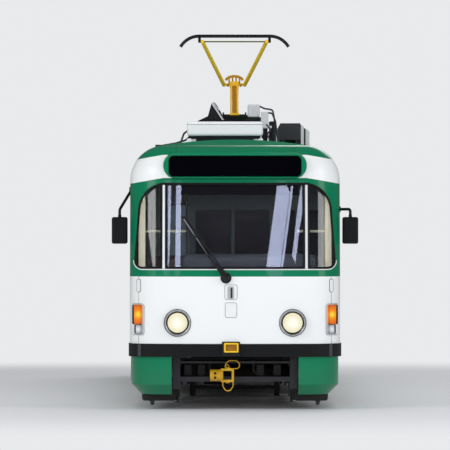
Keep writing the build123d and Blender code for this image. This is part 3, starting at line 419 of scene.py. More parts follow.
def piece(name, shapes, paint, body="car_body", smooth=40):
    """Joins shapes, given as vertices and faces, into one piece of a material that rides on a body."""
    made = bmesh.new()
    for corners, faces in shapes:
        points = [made.verts.new(corner) for corner in corners]
        for face in faces:
            made.faces.new([points[i] for i in face])
    bmesh.ops.recalc_face_normals(made, faces=made.faces)
    data = bpy.data.meshes.new(name)
    made.to_mesh(data)
    made.free()
    data.materials.append(paint)
    data.shade_smooth()
    data.set_sharp_from_angle(angle=radians(smooth))
    thing = bpy.data.objects.new(name, data)
    scene.collection.objects.link(thing)
    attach(thing, body)
    thing.modifiers.new("flat_faces_stay_flat", "WEIGHTED_NORMAL").keep_sharp = True
    return thing


def plain_paint(name, tones, patches, roughness, relief=0.0, metallic=0.0, specular=0.5, coat=0.0):
    """A material mottled in two tones with so many patches to a metre, 50 being one each 20 mm; its
    gloss and its fine relief follow them."""
    made, tree = material(name)
    here = node(tree, "ShaderNodeTexCoord").outputs["Object"]
    mottle = node(tree, "ShaderNodeTexNoise", {"Vector": here, "Scale": patches, "Detail": 6.0})
    tone = node(tree, "ShaderNodeMix", {"Factor": mottle, "A": tones[0], "B": tones[1]}, data_type="RGBA")
    haze = node(tree, "ShaderNodeMapRange", {"Value": mottle, "To Min": roughness[0], "To Max": roughness[1]})
    bump = node(tree, "ShaderNodeBump", {"Height": mottle, "Strength": relief, "Distance": 0.002})
    inputs = {"Base Color": tone, "Roughness": haze, "Normal": bump, "Metallic": metallic}
    inputs.update({"Specular IOR Level": specular, "Coat Weight": coat})
    shader = node(tree, "ShaderNodeBsdfPrincipled", inputs)
    node(tree, "ShaderNodeOutputMaterial", {"Surface": shader})
    return made


# Moulded rubber: near black, dull, with a faint bloom of dust in its pores.
moulded_rubber = plain_paint("moulded_rubber", ("08090a", "131415"), 60.0, (0.45, 0.7), 0.3, specular=0.3)
# White pressed-in trim: glossy plastic strip.
white_trim = plain_paint("white_plastic_strip", ("dfe2e2", "f2f3f2"), 12.0, (0.25, 0.4))


def slant_x(z, inset):
    """The outer edge of the glazed opening at a height, drawn in by an inset."""
    share = (z - PANE_Z[0]) / (PANE_Z[1] - PANE_Z[0])
    return PANE_X + (PANE_TOP_X - PANE_X) * share - inset


half = GASKET / 2
low_z, high_z = drawn_in(PANE_Z, half)
middle_x = drawn_in((-DIVIDER_X, DIVIDER_X), DIVIDER + half)
inner_x = DIVIDER_X + DIVIDER + half
middle_pane = rectangle(middle_x, (low_z, high_z), PANE_INNER_ROUND, 4)
corners = [
    (inner_x, low_z, PANE_INNER_ROUND),
    (slant_x(low_z, half), low_z, PANE_BOTTOM_ROUND - half),
    (slant_x(high_z, half), high_z, PANE_TOP_ROUND - half),
    (inner_x, high_z, 0.010),
]
side_pane = rounded(corners, 9)
far_pane = [Vector((-p.x, p.y)) for p in side_pane]
gasket = slab(GASKET, GASKET_DEPTH, 0.006)
gaskets = [sweep(laid(dense(line, 0.06)), gasket, (0, -1, 0)) for line in (middle_pane, side_pane, far_pane)]
piece("windscreen_gaskets", gaskets, moulded_rubber)

end_x, low_x = slant_x(TRIM_END, -TRIM_OUT), slant_x(PANE_Z[0], -TRIM_OUT)
low_z, radius = PANE_Z[0] - TRIM_OUT, PANE_BOTTOM_ROUND + TRIM_OUT
corners = [(-end_x, TRIM_END, 0), (-low_x, low_z, radius), (low_x, low_z, radius), (end_x, TRIM_END, 0)]
path = laid([point for point in dense(rounded(corners, 9), 0.06) if point.y < TRIM_END - 0.001])
trim = sweep(path, slab(0.014, 0.010, 0.003), (0, -1, 0), closed=False)
piece("windscreen_trim", [trim], white_trim)

# Window glass: toughened sheet, clear in the windscreen and tinted a pale blue elsewhere. Light
# still reaches the inside, so the cab shows behind it, and its face mirrors the sky.
def window_glass(name, tints, opened):
    """Sheet glass of a tint, with a film of dust in patches of 300 mm, which lets light through."""
    made, tree = material(name)
    here = node(tree, "ShaderNodeTexCoord").outputs["Object"]
    wash = node(tree, "ShaderNodeTexNoise", {"Vector": here, "Scale": 3.0, "Detail": 4.0})
    film = node(tree, "ShaderNodeMapRange", {"Value": wash, "To Min": 0.0, "To Max": 0.03})
    tint = node(tree, "ShaderNodeMix", {"Factor": wash, "A": tints[0], "B": tints[1]}, data_type="RGBA")
    inputs = {"Base Color": tint, "Roughness": film, "Transmission Weight": 1.0, "IOR": 1.5}
    pane = node(tree, "ShaderNodeBsdfPrincipled", inputs)
    open_pane = node(tree, "ShaderNodeBsdfTransparent", {"Color": opened})
    shadow = node(tree, "ShaderNodeLightPath").outputs["Is Shadow Ray"]
    let_light = node(tree, "ShaderNodeMixShader", {0: shadow, 1: pane, 2: open_pane})
    node(tree, "ShaderNodeOutputMaterial", {"Surface": let_light})
    return made


clear_glass = window_glass("clear_safety_glass", ("ebecec", "f1f2f2"), "ededed")
tinted_glass = window_glass("blue_tinted_glass", ("c4d5ea", "cfdeee"), "c6d0da")
dress(clear_glass, "windscreen")
dress(tinted_glass, "rear_window", "side_windows")

# The rear window: one sheet of the tinted glass, set in a thick moulded gasket that grips the edge
# of its opening, as the windscreen's do.
REAR_X = 1.0
REAR_TOP = 2.5
REAR_ROUND = 0.15
rear_z = drawn_in((PANE_Z[0], REAR_TOP), half)
rear_line = rectangle(drawn_in((-REAR_X, REAR_X), half), rear_z, REAR_ROUND - half, 8)
path = [Vector((p.x, -nose_y(p.x, p.y), p.y)) for p in dense(rear_line, 0.08)]
piece("rear_window_gasket", [sweep(path, gasket, (0, 1, 0))], moulded_rubber)

# Side windows: a rubber gasket in each opening, and a brushed aluminium transom with two sliding
# vents above it, each vent with a small latch.
DOOR_PITCH = 5.45
DOOR_WIDTH = 1.30
DOORWAYS = (-DOOR_PITCH, 0, DOOR_PITCH)
BAY = (DOOR_PITCH - DOOR_WIDTH) / 3
PILLAR = 0.16
WINDOW_Z = (1.650, 2.490)
WINDOW_ROUND = 0.080
WINDOW_IN = 0.012
GASKET_X = 1.243
VENT_X = (1.206, 1.226)
TRANSOM_Z = 2.215
VENT_TOP = WINDOW_Z[1] - TRANSOM_Z - 0.02
between = [(start + DOOR_WIDTH / 2 + BAY * (k + 0.5), BAY) for start in (-DOOR_PITCH, 0) for k in range(3)]
facing_doors = [(centre, DOOR_WIDTH) for centre in DOORWAYS]


def block(low, high, edge=0.004, segments=2):
    """A box between two opposite corners with its edges rounded over."""
    made = bmesh.new()
    bmesh.ops.create_cube(made, size=1.0)
    low, high = (Vector(corner) for corner in zip(*map(sorted, zip(low, high))))
    for point in made.verts:
        point.co = Vector([c * s for c, s in zip(point.co, high - low)]) + (low + high) / 2
    sides = made.edges[:]
    bmesh.ops.bevel(
        made, geom=sides, offset=edge, segments=segments, affect="EDGES", profile=0.5, clamp_overlap=True
    )
    made.verts.index_update()
    corners = [point.co.copy() for point in made.verts]
    faces = [tuple(point.index for point in face.verts) for face in made.faces]
    made.free()
    return corners, faces


# Brushed aluminium: pale grey metal whose fine grain runs along the bar and blurs the shine. The
# grain is a millimetre across and 30 mm long, coarser than real, so that it shows.
brushed_aluminium, tree = material("brushed_aluminium")
here = node(tree, "ShaderNodeTexCoord").outputs["Object"]
stretch = node(tree, "ShaderNodeMapping", {"Vector": here, "Scale": (900, 30, 900)})
grain = node(tree, "ShaderNodeTexNoise", {"Vector": stretch, "Scale": 1.0, "Detail": 3.0})
shine = node(tree, "ShaderNodeMapRange", {"Value": grain, "To Min": 0.25, "To Max": 0.5})
alloy = node(tree, "ShaderNodeMix", {"Factor": grain, "A": "a3a6a8", "B": "c9cccd"}, data_type="RGBA")
shader = node(tree, "ShaderNodeBsdfPrincipled", {"Base Color": alloy, "Metallic": 1.0, "Roughness": shine})
node(tree, "ShaderNodeOutputMaterial", {"Surface": shader})

for name, way, bays in (("left", 1, between + facing_doors), ("right", -1, between)):
    rubbers, frames = [], []
    near, deep = sorted(way * x for x in VENT_X)
    for centre, size in bays:
        reach = (size - PILLAR) / 2 - WINDOW_IN
        opening = (centre - reach, centre + reach)
        outline = rectangle(opening, drawn_in(WINDOW_Z, WINDOW_IN), WINDOW_ROUND - WINDOW_IN)
        path = [Vector((way * GASKET_X, p.x, p.y)) for p in outline]
        rubbers.append(sweep(path, slab(0.028, 0.016, 0.004), (way, 0, 0)))
        # The transom, the vents' meeting stiles and their latches: place, half width, limits over
        # the transom, and how far each stands proud.
        for along, half_width, bottom, top, proud in (
            (0.0, reach, -0.016, 0.016, 0.0),
            (-0.02, 0.012, 0.0, VENT_TOP, 0.0),
            (0.02, 0.012, 0.0, VENT_TOP, 0.0),
            (-0.09, 0.025, 0.020, 0.045, 0.001),
            (0.09, 0.025, 0.020, 0.045, 0.001),
        ):
            low = (near - proud, centre + along - half_width, TRANSOM_Z + bottom)
            high = (deep + proud, centre + along + half_width, TRANSOM_Z + top)
            frames.append(block(low, high, 0.003 + proud))
    piece(f"window_gaskets_{name}", rubbers, moulded_rubber)
    piece(f"window_vents_{name}", frames, brushed_aluminium)

# Doors: each folding panel has its own tinted pane in a rubber gasket, a flush rubber lip down both
# edges and a thin kick plate on both faces.
DOOR_PANE_HALF = 0.1
DOOR_PANE_Z = (1.152, 2.378)
DOOR_SEAL_HALF = 0.0935
DOOR_SEAL_Z = (1.159, 2.371)
LIP_PROUD = 0.0004
PLATE_PROUD = 0.0012
for name in doors:
    low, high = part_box(name)
    x, y = (low.x + high.x) / 2, (low.y + high.y) / 2
    outline = rectangle((y - DOOR_SEAL_HALF, y + DOOR_SEAL_HALF), DOOR_SEAL_Z, 0.03, 5)
    path = [Vector((x, p.x, p.y)) for p in outline]
    rubbers = [sweep(path, slab(0.022, high.x - low.x + 0.003, 0.004), (-1, 0, 0))]
    for edge in (low.y + 0.008, high.y - 0.008):
        foot = (low.x - LIP_PROUD, edge - 0.007, low.z + 0.01)
        top = (high.x + LIP_PROUD, edge + 0.007, high.z - 0.01)
        rubbers.append(block(foot, top, LIP_PROUD, 1))
    piece(f"{name}_rubbers", rubbers, moulded_rubber, body=name)
    near = (x - 0.003, y - DOOR_PANE_HALF, DOOR_PANE_Z[0])
    far = (x + 0.003, y + DOOR_PANE_HALF, DOOR_PANE_Z[1])
    piece(f"{name}_pane", [block(near, far, 0.001)], tinted_glass, body=name)
    foot = (low.x - PLATE_PROUD, low.y + 0.03, low.z + 0.02)
    top = (high.x + PLATE_PROUD, high.y - 0.03, low.z + 0.22)
    piece(f"{name}_kick_plate", [block(foot, top, 0.001)], brushed_aluminium, body=name)

# The display: a blank black pane behind glass, in one moulded green frame with rounded ends, which
# stands out of the dome and is screwed on over a thin collar.
DISPLAY_X = 0.850
DISPLAY_Z = (2.740, 3.042)
DISPLAY_ROUND = 0.145
DISPLAY_DEPTH = 0.225
LONG_SIDE_PARTS = 24
WELL_X = 0.790
WELL_Z = (2.755, 3.010)
WELL_ROUND = 0.060
WELL_DEPTH = 0.031
FACE_RADIUS = 5.063
bow_middle_y = NOSE + DOME_BACK + BOW


def display_line(reach, z_limits, radius):
    """A rounded outline round the display, with its long sides in short steps."""
    line = rectangle((-reach, reach), z_limits, radius, 10)
    full = []
    for point, after in zip(line, line[1:] + line[:1]):
        parts = LONG_SIDE_PARTS if (after - point).length > 1 else 1
        full += [point.lerp(after, k / parts) for k in range(parts)]
    return full


def frame_loop(reach, z_limits, radius, sunk):
    """One closed loop of the display's frame at a depth behind its bowed face."""
    bow = FACE_RADIUS - sunk
    line = display_line(reach, z_limits, radius)
    return [Vector((p.x, bow_middle_y - sqrt(bow**2 - p.x**2), p.y)) for p in line]


def ringed(loops):
    """Skins a row of closed loops that have the same number of points."""
    return [point for loop in loops for point in loop], woven(len(loops), len(loops[0]), False)


rim_z = (DISPLAY_Z[0] + 0.008, DISPLAY_Z[1] - 0.010)
loops = [
    frame_loop(DISPLAY_X, DISPLAY_Z, DISPLAY_ROUND, DISPLAY_DEPTH),
    frame_loop(DISPLAY_X, DISPLAY_Z, DISPLAY_ROUND, 0.010),
    frame_loop(DISPLAY_X - 0.003, drawn_in(DISPLAY_Z, 0.003), DISPLAY_ROUND - 0.003, 0.003),
    frame_loop(DISPLAY_X - 0.010, rim_z, DISPLAY_ROUND - 0.010, 0.0),
    frame_loop(WELL_X + 0.004, drawn_in(WELL_Z, -0.004), WELL_ROUND + 0.004, 0.0),
    frame_loop(WELL_X, WELL_Z, WELL_ROUND, 0.004),
    frame_loop(WELL_X - 0.006, drawn_in(WELL_Z, 0.006), WELL_ROUND - 0.006, WELL_DEPTH),
]
# Green enamel: the same gloss paint as the body, without the white band.
greens = (DEEP_GREEN, GREEN)
green_enamel = plain_paint("green_enamel", greens, 1.6, (0.24, 0.42), 0.02, specular=0.2, coat=0.25)
display_frame = piece("display_frame", [ringed(loops)], green_enamel, smooth=50)
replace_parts(display_frame, "display_housing")
collar = []
for out, radius in ((0.002, 0.004), (-0.004, DISPLAY_ROUND - 0.004)):
    line = display_line(DISPLAY_X + out, drawn_in(DISPLAY_Z, -out), radius)
    collar.append([Vector((p.x, nose_y(p.x, p.y) + 0.001, p.y)) for p in line])
piece("display_collar", [ringed(collar)], gloss_enamel, smooth=50)

# Black acrylic: the blank display behind its pane is a deep gloss that mirrors the sky.
black_acrylic = plain_paint("black_acrylic", ("000004", "020208"), 4.0, (0.05, 0.1), specular=0.15)
dress(black_acrylic, "display_glass")

# Bumpers: a deep black rubber moulding round each end, held down at its joints by clamp strips of
# grey steel.
CLAMP_X = 1.1225
CLAMP_PROUD = 0.016
bumper_low, bumper_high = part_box("bumpers")


def both_ends(shapes):
    """Shapes of the front, and the same shapes turned round to the rear."""
    return shapes + [([Vector((-p[0], -p[1], p[2])) for p in corners], faces) for corners, faces in shapes]


dress(moulded_rubber, "bumpers")
# Clamp steel: rolled strip in worn grey paint, half dull and half bare.
clamp_steel = plain_paint("grey_clamp_steel", ("3b3d41", "56585d"), 30.0, (0.35, 0.55), 0.1, 0.4)
clamps = []
for x in (-CLAMP_X, CLAMP_X):
    ends = [on_nose(x, z, CLAMP_PROUD) for z in (bumper_low.z + 0.004, bumper_high.z - 0.004)]
    clamps.append(sweep(ends, slab(0.052, 0.004, 0.002), facing(x), closed=False))
piece("bumper_clamps", both_ends(clamps), clamp_steel)

# Headlamps: a rolled chrome rim between two black rubber rings, round a lens of fluted glass that
# bulges a little; the lens is kept pale by painted glow, palest in the middle, and a faint emission.
LAMP_X = 0.680
LAMP_Z = 1.032
LAMP_BACK = -6.935
LENS_RADIUS = 0.119
LENS_EDGE = 0.046
LENS_BULGE = 0.012
MIDDLE_STOP = 0.42


def turned(profile, centre, axis, sides=48, ring=False):
    """Turns a profile of (distance along, radius) about an axis through a point."""
    axis = Vector(axis).normalized()
    across = axis.orthogonal().normalized()
    rising = axis.cross(across)
    corners = []
    for along, radius in profile:
        for k in range(sides):
            turn = 2 * pi * k / sides
            out = (across * cos(turn) + rising * sin(turn)) * radius
            corners.append(Vector(centre) + axis * along + out)
    return corners, woven(len(profile), sides, ring)


def lens_material(name, stops, middle, span, ribs, axis, relief, roughness, coat, glow):
    """Ribbed lamp glass or plastic with painted light: coloured outwards from a middle point by two or three
    stops, palest there with painted shade deeper to the edge, and glowing faintly in the same colours.
    """
    made, tree = material(name)
    here = node(tree, "ShaderNodeTexCoord").outputs["Object"]
    split = node(tree, "ShaderNodeSeparateXYZ", {0: here})
    side = node(tree, "ShaderNodeMath", {0: split.outputs["X"]}, operation="ABSOLUTE")
    spot = node(tree, "ShaderNodeCombineXYZ", {0: side, 2: split.outputs["Z"]})
    painted_glow_centre = (middle[0], 0, middle[1])
    away = node(tree, "ShaderNodeVectorMath", {0: spot, 1: painted_glow_centre}, operation="DISTANCE")
    share = node(tree, "ShaderNodeMapRange", {"Value": away, "From Min": span[0], "From Max": span[1]})
    glow_and_shade_ramp = node(tree, "ShaderNodeValToRGB", {"Fac": share})
    glow_and_shade_ramp.color_ramp.elements[0].color = linear(stops[0])
    glow_and_shade_ramp.color_ramp.elements[1].color = linear(stops[-1])
    for colour in stops[1:-1]:
        glow_and_shade_ramp.color_ramp.elements.new(MIDDLE_STOP).color = linear(colour)
    wave = {"wave_type": "BANDS", "bands_direction": axis}
    ribbed = node(tree, "ShaderNodeTexWave", {"Vector": here, "Scale": ribs}, **wave).outputs["Fac"]
    bump = node(tree, "ShaderNodeBump", {"Height": ribbed, "Strength": relief[0], "Distance": relief[1]})
    inputs = {"Base Color": glow_and_shade_ramp, "Roughness": roughness, "Normal": bump, "Coat Weight": coat}
    inputs.update({"Emission Color": glow_and_shade_ramp, "Emission Strength": glow})
    shader = node(tree, "ShaderNodeBsdfPrincipled", inputs)
    node(tree, "ShaderNodeOutputMaterial", {"Surface": shader})
    return made


rim_profile = [
    (0.000, 0.131),
    (0.000, 0.1550),
    (0.044, 0.1550),
    (0.052, 0.1530),
    (0.056, 0.1490),
    (0.057, 0.1430),
    (0.055, 0.1380),
    (0.050, 0.1340),
    (0.044, 0.1315),
]
outer_seal = [(0.0, 0.1540), (0.0, 0.1620), (0.036, 0.1620), (0.042, 0.1600), (0.044, 0.1540)]
inner_seal = [(0.0, 0.1180), (0.0, 0.1325), (0.044, 0.1325), (0.050, 0.1300), (0.052, 0.1240)]
inner_seal += [(0.048, 0.1180)]
lens = [(0.002, 0.0), (0.002, LENS_RADIUS), (LENS_EDGE, LENS_RADIUS)]
for radius in (0.105, 0.088, 0.07, 0.05, 0.028, 0.0):
    lens.append((LENS_EDGE + LENS_BULGE * (1 - (radius / LENS_RADIUS) ** 2), radius))
# Chrome plate: bright, and hazed by years of washing.
chrome_plate = plain_paint("bright_chrome_plate", ("d4d6d9", "e4e6e8"), 25.0, (0.22, 0.36), 0.02, 1.0)
# Fluted lamp glass: warm cream with painted glow, palest in the middle and deeper to the rim, with
# upright flutes 8 mm apart that break up the light.
cream = ("f8f6e6", "e2d9b0")
lamp_glass = lens_material(
    "fluted_lamp_glass", cream, (LAMP_X, LAMP_Z), (0.02, 0.118), 38.0, "X", (0.25, 0.002), 0.18, 1.0, 0.12
)
rims, seals, lenses = [], [], []
for side in (-1, 1):
    centre = (side * LAMP_X, LAMP_BACK, LAMP_Z)
    rims.append(turned(rim_profile, centre, (0, -1, 0), 64, ring=True))
    seals.append(turned(outer_seal, centre, (0, -1, 0), 64, ring=True))
    seals.append(turned(inner_seal, centre, (0, -1, 0), 64, ring=True))
    lenses.append(turned(lens, centre, (0, -1, 0)))
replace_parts(piece("headlamp_rims", rims, chrome_plate, smooth=35), "headlamps")
piece("headlamp_seals", seals, moulded_rubber)
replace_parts(piece("headlamp_glasses", lenses, lamp_glass, smooth=50), "headlamp_lenses")

# Corner lamps: a ribbed orange lens over its bulb, a clear one under it at the front and a red one
# at the rear, all on one rounded white backplate with a grey edge.
TURN_X = 1.149
TURN_Z = 1.127
MARKER_Z = 0.953
PLATE_X = (1.075, 1.218)
PLATE_Z = (0.886, 1.254)

# Lamp plastic: moulded in ribs 6 mm apart, with painted glow bright in the middle and painted shade
# deeper to its edge.
plastics = []
for name, stops, z, reach in (
    ("ribbed_orange_plastic", ("ffe634", "f58a08", "d05a02"), TURN_Z, 0.115),
    ("ribbed_clear_plastic", ("eceded", "c4c7ca", "85898d"), MARKER_Z, 0.06),
    ("ribbed_red_plastic", ("d9261a", "a80b08", "6e0505"), MARKER_Z, 0.09),
):
    middle, relief = (TURN_X, z), (0.2, 0.001)
    plastics.append(lens_material(name, stops, middle, (0.0, reach), 55.0, "Z", relief, 0.2, 0.4, 0.15))
orange_plastic, clear_plastic, red_plastic = plastics
dress(orange_plastic, "turn_lamps")
dress(clear_plastic, "marker_lamps")
marker = nodes["marker_lamps"]
marker.data.materials.append(red_plastic)
for face in marker.data.polygons:
    if face.center.y > 0:
        face.material_index = len(marker.data.materials) - 1
plates, edges, turn_frames = [], [], []
for side in (-1, 1):
    inner, outer = side * PLATE_X[0], side * PLATE_X[1]
    (low, high), size = PLATE_Z, 0.03
    outline = rounded([(inner, low, size), (outer, low, 0.012), (outer, high, 0.012), (inner, high, size)], 5)
    outline = dense(outline, 0.03)
    corners, faces = ringed([laid(outline, -0.001), laid(outline, 0.006)])
    count = len(outline)
    cap = [(count + k, count + (k + 1) % count, 2 * count) for k in range(count)]
    plates.append((corners + [on_nose((inner + outer) / 2, (low + high) / 2, 0.0075)], faces + cap))
    edges.append(sweep(laid(outline, 0.004), slab(0.004, 0.006, 0.001), (0, -1, 0)))
    # A dark frame round each lens: its limits across, its limits in height, and its list.
    for x_limits, z_limits, frames in (
        ((1.099, 1.199), (1.012, 1.242), turn_frames),
        ((1.099, 1.175), (0.900, 1.005), edges),
    ):
        middle, reach = side * sum(x_limits) / 2, (x_limits[1] - x_limits[0]) / 2
        line = laid(rectangle((middle - reach, middle + reach), z_limits, 0.014), 0.012)
        frames.append(sweep(line, slab(0.005, 0.024, 0.002), facing(middle)))
piece("corner_lamp_rubbers", both_ends(turn_frames), moulded_rubber)
piece("lamp_backplates", both_ends(plates), white_trim, smooth=60)
piece("lamp_backplate_edges", both_ends(edges), clamp_steel)

# Nose panel fittings: a steel lock in a rounded plate, a blank hatch under it, and a capsule-shaped
# pull at each side seam; all are thin pressings with a dark gap round them.
LOCK_X = -0.048
HATCH_EDGE = 0.004
GAP_OUT = 0.002


def capped(loops):
    """Skins a row of loops and closes the last one."""
    corners, faces = ringed(loops)
    return corners, faces + [tuple(range(len(corners) - len(loops[0]), len(corners)))]


def hatch(x_limits, z_limits, radius, proud):
    """A thin plate with a rounded outline that lies on the front."""
    outline = rectangle(x_limits, z_limits, radius)
    inner = rectangle(drawn_in(x_limits, HATCH_EDGE), drawn_in(z_limits, HATCH_EDGE), radius - HATCH_EDGE)
    return capped([laid(outline, -0.002), laid(outline, proud - 0.002), laid(inner, proud)])


# Panel gap: the dull dark line where two sheets part.
gap_line = plain_paint("dark_panel_gap", ("3a3d3c", "4a4d4c"), 30.0, (0.6, 0.8))
# Lock steel: satin, a little greyer than the plate round it; its slot is a raised plate of soft black,
# painted shade.
lock_steel = plain_paint("satin_lock_steel", ("b6b8bb", "c6c8ca"), 18.0, (0.35, 0.5), 0.03, 0.3)
lock_shade = plain_paint("lock_slot_painted_shade", ("1b1c1e", "2c2d30"), 30.0, (0.5, 0.7))
hatches, gaps = [], []
for middle, reach, z_limits, radius, gap in (
    (LOCK_X, 0.071, (1.307, 1.478), 0.022, 0.005),
    (LOCK_X, 0.066, (1.096, 1.266), 0.020, 0.005),
    (-SEAM_X, 0.0205, (1.394, 1.545), 0.020, 0.008),
    (SEAM_X, 0.0205, (1.394, 1.545), 0.020, 0.008),
):
    x_limits = (middle - reach, middle + reach)
    hatches.append(hatch(x_limits, z_limits, radius, 0.005))
    outline = rectangle(drawn_in(x_limits, -GAP_OUT), drawn_in(z_limits, -GAP_OUT), radius + GAP_OUT)
    gaps.append(sweep(laid(outline), slab(gap, 0.006, 0.001), (0, -1, 0)))
piece("nose_hatches", hatches, white_trim, smooth=30)
piece("nose_hatch_gaps", gaps, gap_line)
lock = [
    hatch((LOCK_X - 0.042, LOCK_X + 0.036), (1.314, 1.462), 0.012, 0.009),
    hatch((LOCK_X - 0.036, LOCK_X - 0.010), (1.322, 1.454), 0.006, 0.015),
]
piece("nose_lock", lock, lock_steel, smooth=30)
key_slot = hatch((LOCK_X - 0.004, LOCK_X + 0.016), (1.322, 1.446), 0.005, 0.0145)
piece("nose_lock_slot", [key_slot], lock_shade, smooth=30)

# Mirrors: moulded black cases with rounded edges on bent tube arms clamped to the corner, each with
# a flat glass set in its back; one arm comes down to its mirror and the other reaches straight out.
MIRROR_X = 1.373
MIRROR_Y = -6.45
ARM_Y = -6.29
ARM_END_Z = 2.285


def disc(radius, sides):
    """A round section for a sweep."""
    return [(radius * cos(2 * pi * k / sides), radius * sin(2 * pi * k / sides)) for k in range(sides)]


def bent(points, radius, steps=6):
    """An open line through points with its corners rounded."""
    points = [Vector(point) for point in points]
    line = points[:1]
    for back, here, on in zip(points, points[1:], points[2:]):
        line += arc(back, here, on, radius, steps)
    return line + points[-1:]


def tube(points, radius, sides=12):
    """A round bar along an open line."""
    points = [Vector(point) for point in points]
    along = points[-1] - points[0]
    up = (points[1] - points[0]).cross(along)
    if up.length <= 1e-5:
        up = along.orthogonal()
    return sweep(points, disc(radius, sides), up, closed=False)


# Satin black paint: brushed on steel, a little uneven. Mirror silver: the coating behind the glass.
satin_black = plain_paint("satin_black_paint", ("08090a", "121315"), 35.0, (0.32, 0.5), 0.12)
mirror_silver = plain_paint("mirror_silver", ("d8dadc", "e2e4e6"), 5.0, (0.02, 0.04), 0.0, 1.0)
cases, arms, glasses = [], [], []
for side, root_x, root_z, bend_z in ((-1, -1.232, 2.610, 2.370), (1, 1.236, 2.375, 2.375)):
    x = side * MIRROR_X
    cases.append(block((x - 0.095, MIRROR_Y - 0.030, 1.963), (x + 0.095, MIRROR_Y + 0.024, 2.282), 0.024, 4))
    cases.append(block((x - 0.020, MIRROR_Y - 0.022, 2.262), (x + 0.020, MIRROR_Y + 0.022, 2.312), 0.006))
    glasses.append(block((x - 0.080, MIRROR_Y + 0.020, 1.980), (x + 0.080, MIRROR_Y + 0.028, 2.265), 0.003))
    line = [(root_x, ARM_Y, root_z), (x, MIRROR_Y, bend_z), (x, MIRROR_Y, ARM_END_Z)]
    arms.append(tube(bent(line, 0.03), 0.017))
arms.append(block((-1.262, -6.315, 2.575), (-1.228, -6.245, 2.640), 0.006))
arms.append(block((1.236, -6.325, 2.340), (1.262, -6.255, 2.410), 0.006))
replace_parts(piece("mirror_cases", cases, moulded_rubber, smooth=50), "mirrors")
piece("mirror_arms", arms, satin_black, smooth=50)
piece("mirror_faces", glasses, mirror_silver)

# Wiper: a round boss on the panel, a pair of parallel arms with a flat spring steel root, and a
# rubber blade on its bows, parked aslant over the middle pane.
BOSS_X = -0.107
BOSS_Z = 1.561
BOSS_BACK = -6.9995
TIP_X = -0.603
TIP_Z = 2.293
ARM_OFF = (0.0455, 0.0315)
boss_profile = [(0.0, 0.0), (0.0, 0.065), (0.022, 0.065), (0.030, 0.060), (0.034, 0.050), (0.034, 0.038)]
boss_profile += [(0.050, 0.034), (0.054, 0.028), (0.055, 0.0)]


def on_arm(share, off=None, left=0.0, down=0.0):
    """A point off the raked screen at a share of the way up the arm, or left of and below it."""
    x = BOSS_X + (TIP_X - BOSS_X) * share - left
    z = BOSS_Z + (TIP_Z - BOSS_Z) * share - down
    if off is None:
        off = ARM_OFF[0] + (ARM_OFF[1] - ARM_OFF[0]) * share
    return Vector((x, nose_y(x, z) - off, z))


arm_line = [on_arm(share) for share in (0.0, 0.25, 0.5, 0.75, 1.0)]
across = Vector((TIP_Z - BOSS_Z, 0, BOSS_X - TIP_X)).normalized()
shapes = [turned(boss_profile, (BOSS_X, BOSS_BACK, BOSS_Z), (0, -1, 0), 40)]
root_arm = [arm_line[0], arm_line[0].lerp(arm_line[1], 0.98)]
shapes.append(sweep(root_arm, slab(0.058, 0.016, 0.004), (0, -1, 0), closed=False))
for shift in (-0.025, 0.025):
    rod = [point + across * (shift * (1 - 0.2 * k)) for k, point in enumerate(arm_line)]
    shapes.append(tube(rod, 0.0095))
for share, half_width in ((0.55, 0.022), (0.985, 0.011)):
    at, reach = on_arm(share), Vector((half_width, 0.008, half_width))
    shapes.append(block(at - reach, at + reach, 0.005))
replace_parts(piece("wiper_arm", shapes, satin_black, smooth=45), "wiper")
blade = [on_arm(share, 0.010, 0.028, 0.010) for share in (0.34, 0.45, 0.6, 0.75, 0.9, 1.0)]
blade = sweep(blade, slab(0.020, 0.016, 0.003), (0, -1, 0), closed=False)
piece("wiper_blade", [blade], moulded_rubber)
bows = []
for low, high in ((0.38, 0.66), (0.70, 0.96)):
    heights = ((low, 0.016), ((low + high) / 2, 0.032), (high, 0.016))
    points = [on_arm(share, off, 0.024, 0.008) for share, off in heights]
    bows.append(sweep(points, slab(0.012, 0.004, 0.001), (0, -1, 0), closed=False))
piece("wiper_bows", bows, brushed_aluminium)

# Trailer socket: a welded box of black steel on the middle of the bumper, with a rounded yellow
# frame round its recess.
SOCKET = ((-0.155, 0.058), (0.640, 0.811))
SOCKET_FRAME = ((-0.131, 0.040), (0.682, 0.796))
SOCKET_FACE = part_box("trainline_socket")[0].y
SOCKET_BACK = -6.985 - SOCKET_FACE
RECESS = 0.021


def socket_loop(limits, inset, radius, sunk):
    """A rounded rectangle drawn in from limits, at a depth behind the socket's face."""
    x_limits, z_limits = (drawn_in(pair, inset) for pair in limits)
    return [Vector((p.x, SOCKET_FACE + sunk, p.y)) for p in rectangle(x_limits, z_limits, radius)]


box, rim = SOCKET, SOCKET_FRAME
box_rows = [(box, 0.0, 0.012, SOCKET_BACK), (box, 0.0, 0.012, 0.012), (box, 0.004, 0.010, 0.008)]
box_rows += [(rim, 0.010, 0.010, 0.008), (rim, 0.012, 0.008, 0.036)]
rim_rows = [(rim, 0.0, 0.012, 0.010), (rim, 0.0, 0.012, 0.003), (rim, 0.003, 0.010, 0.0)]
rim_rows += [(rim, 0.016, 0.006, 0.0), (rim, RECESS, 0.005, 0.006)]
box_loops, frame_loops = ([socket_loop(*row) for row in rows] for rows in (box_rows, rim_rows))
recess_loops = [frame_loops[-1], socket_loop(SOCKET_FRAME, RECESS + 0.006, 0.004, 0.030)]
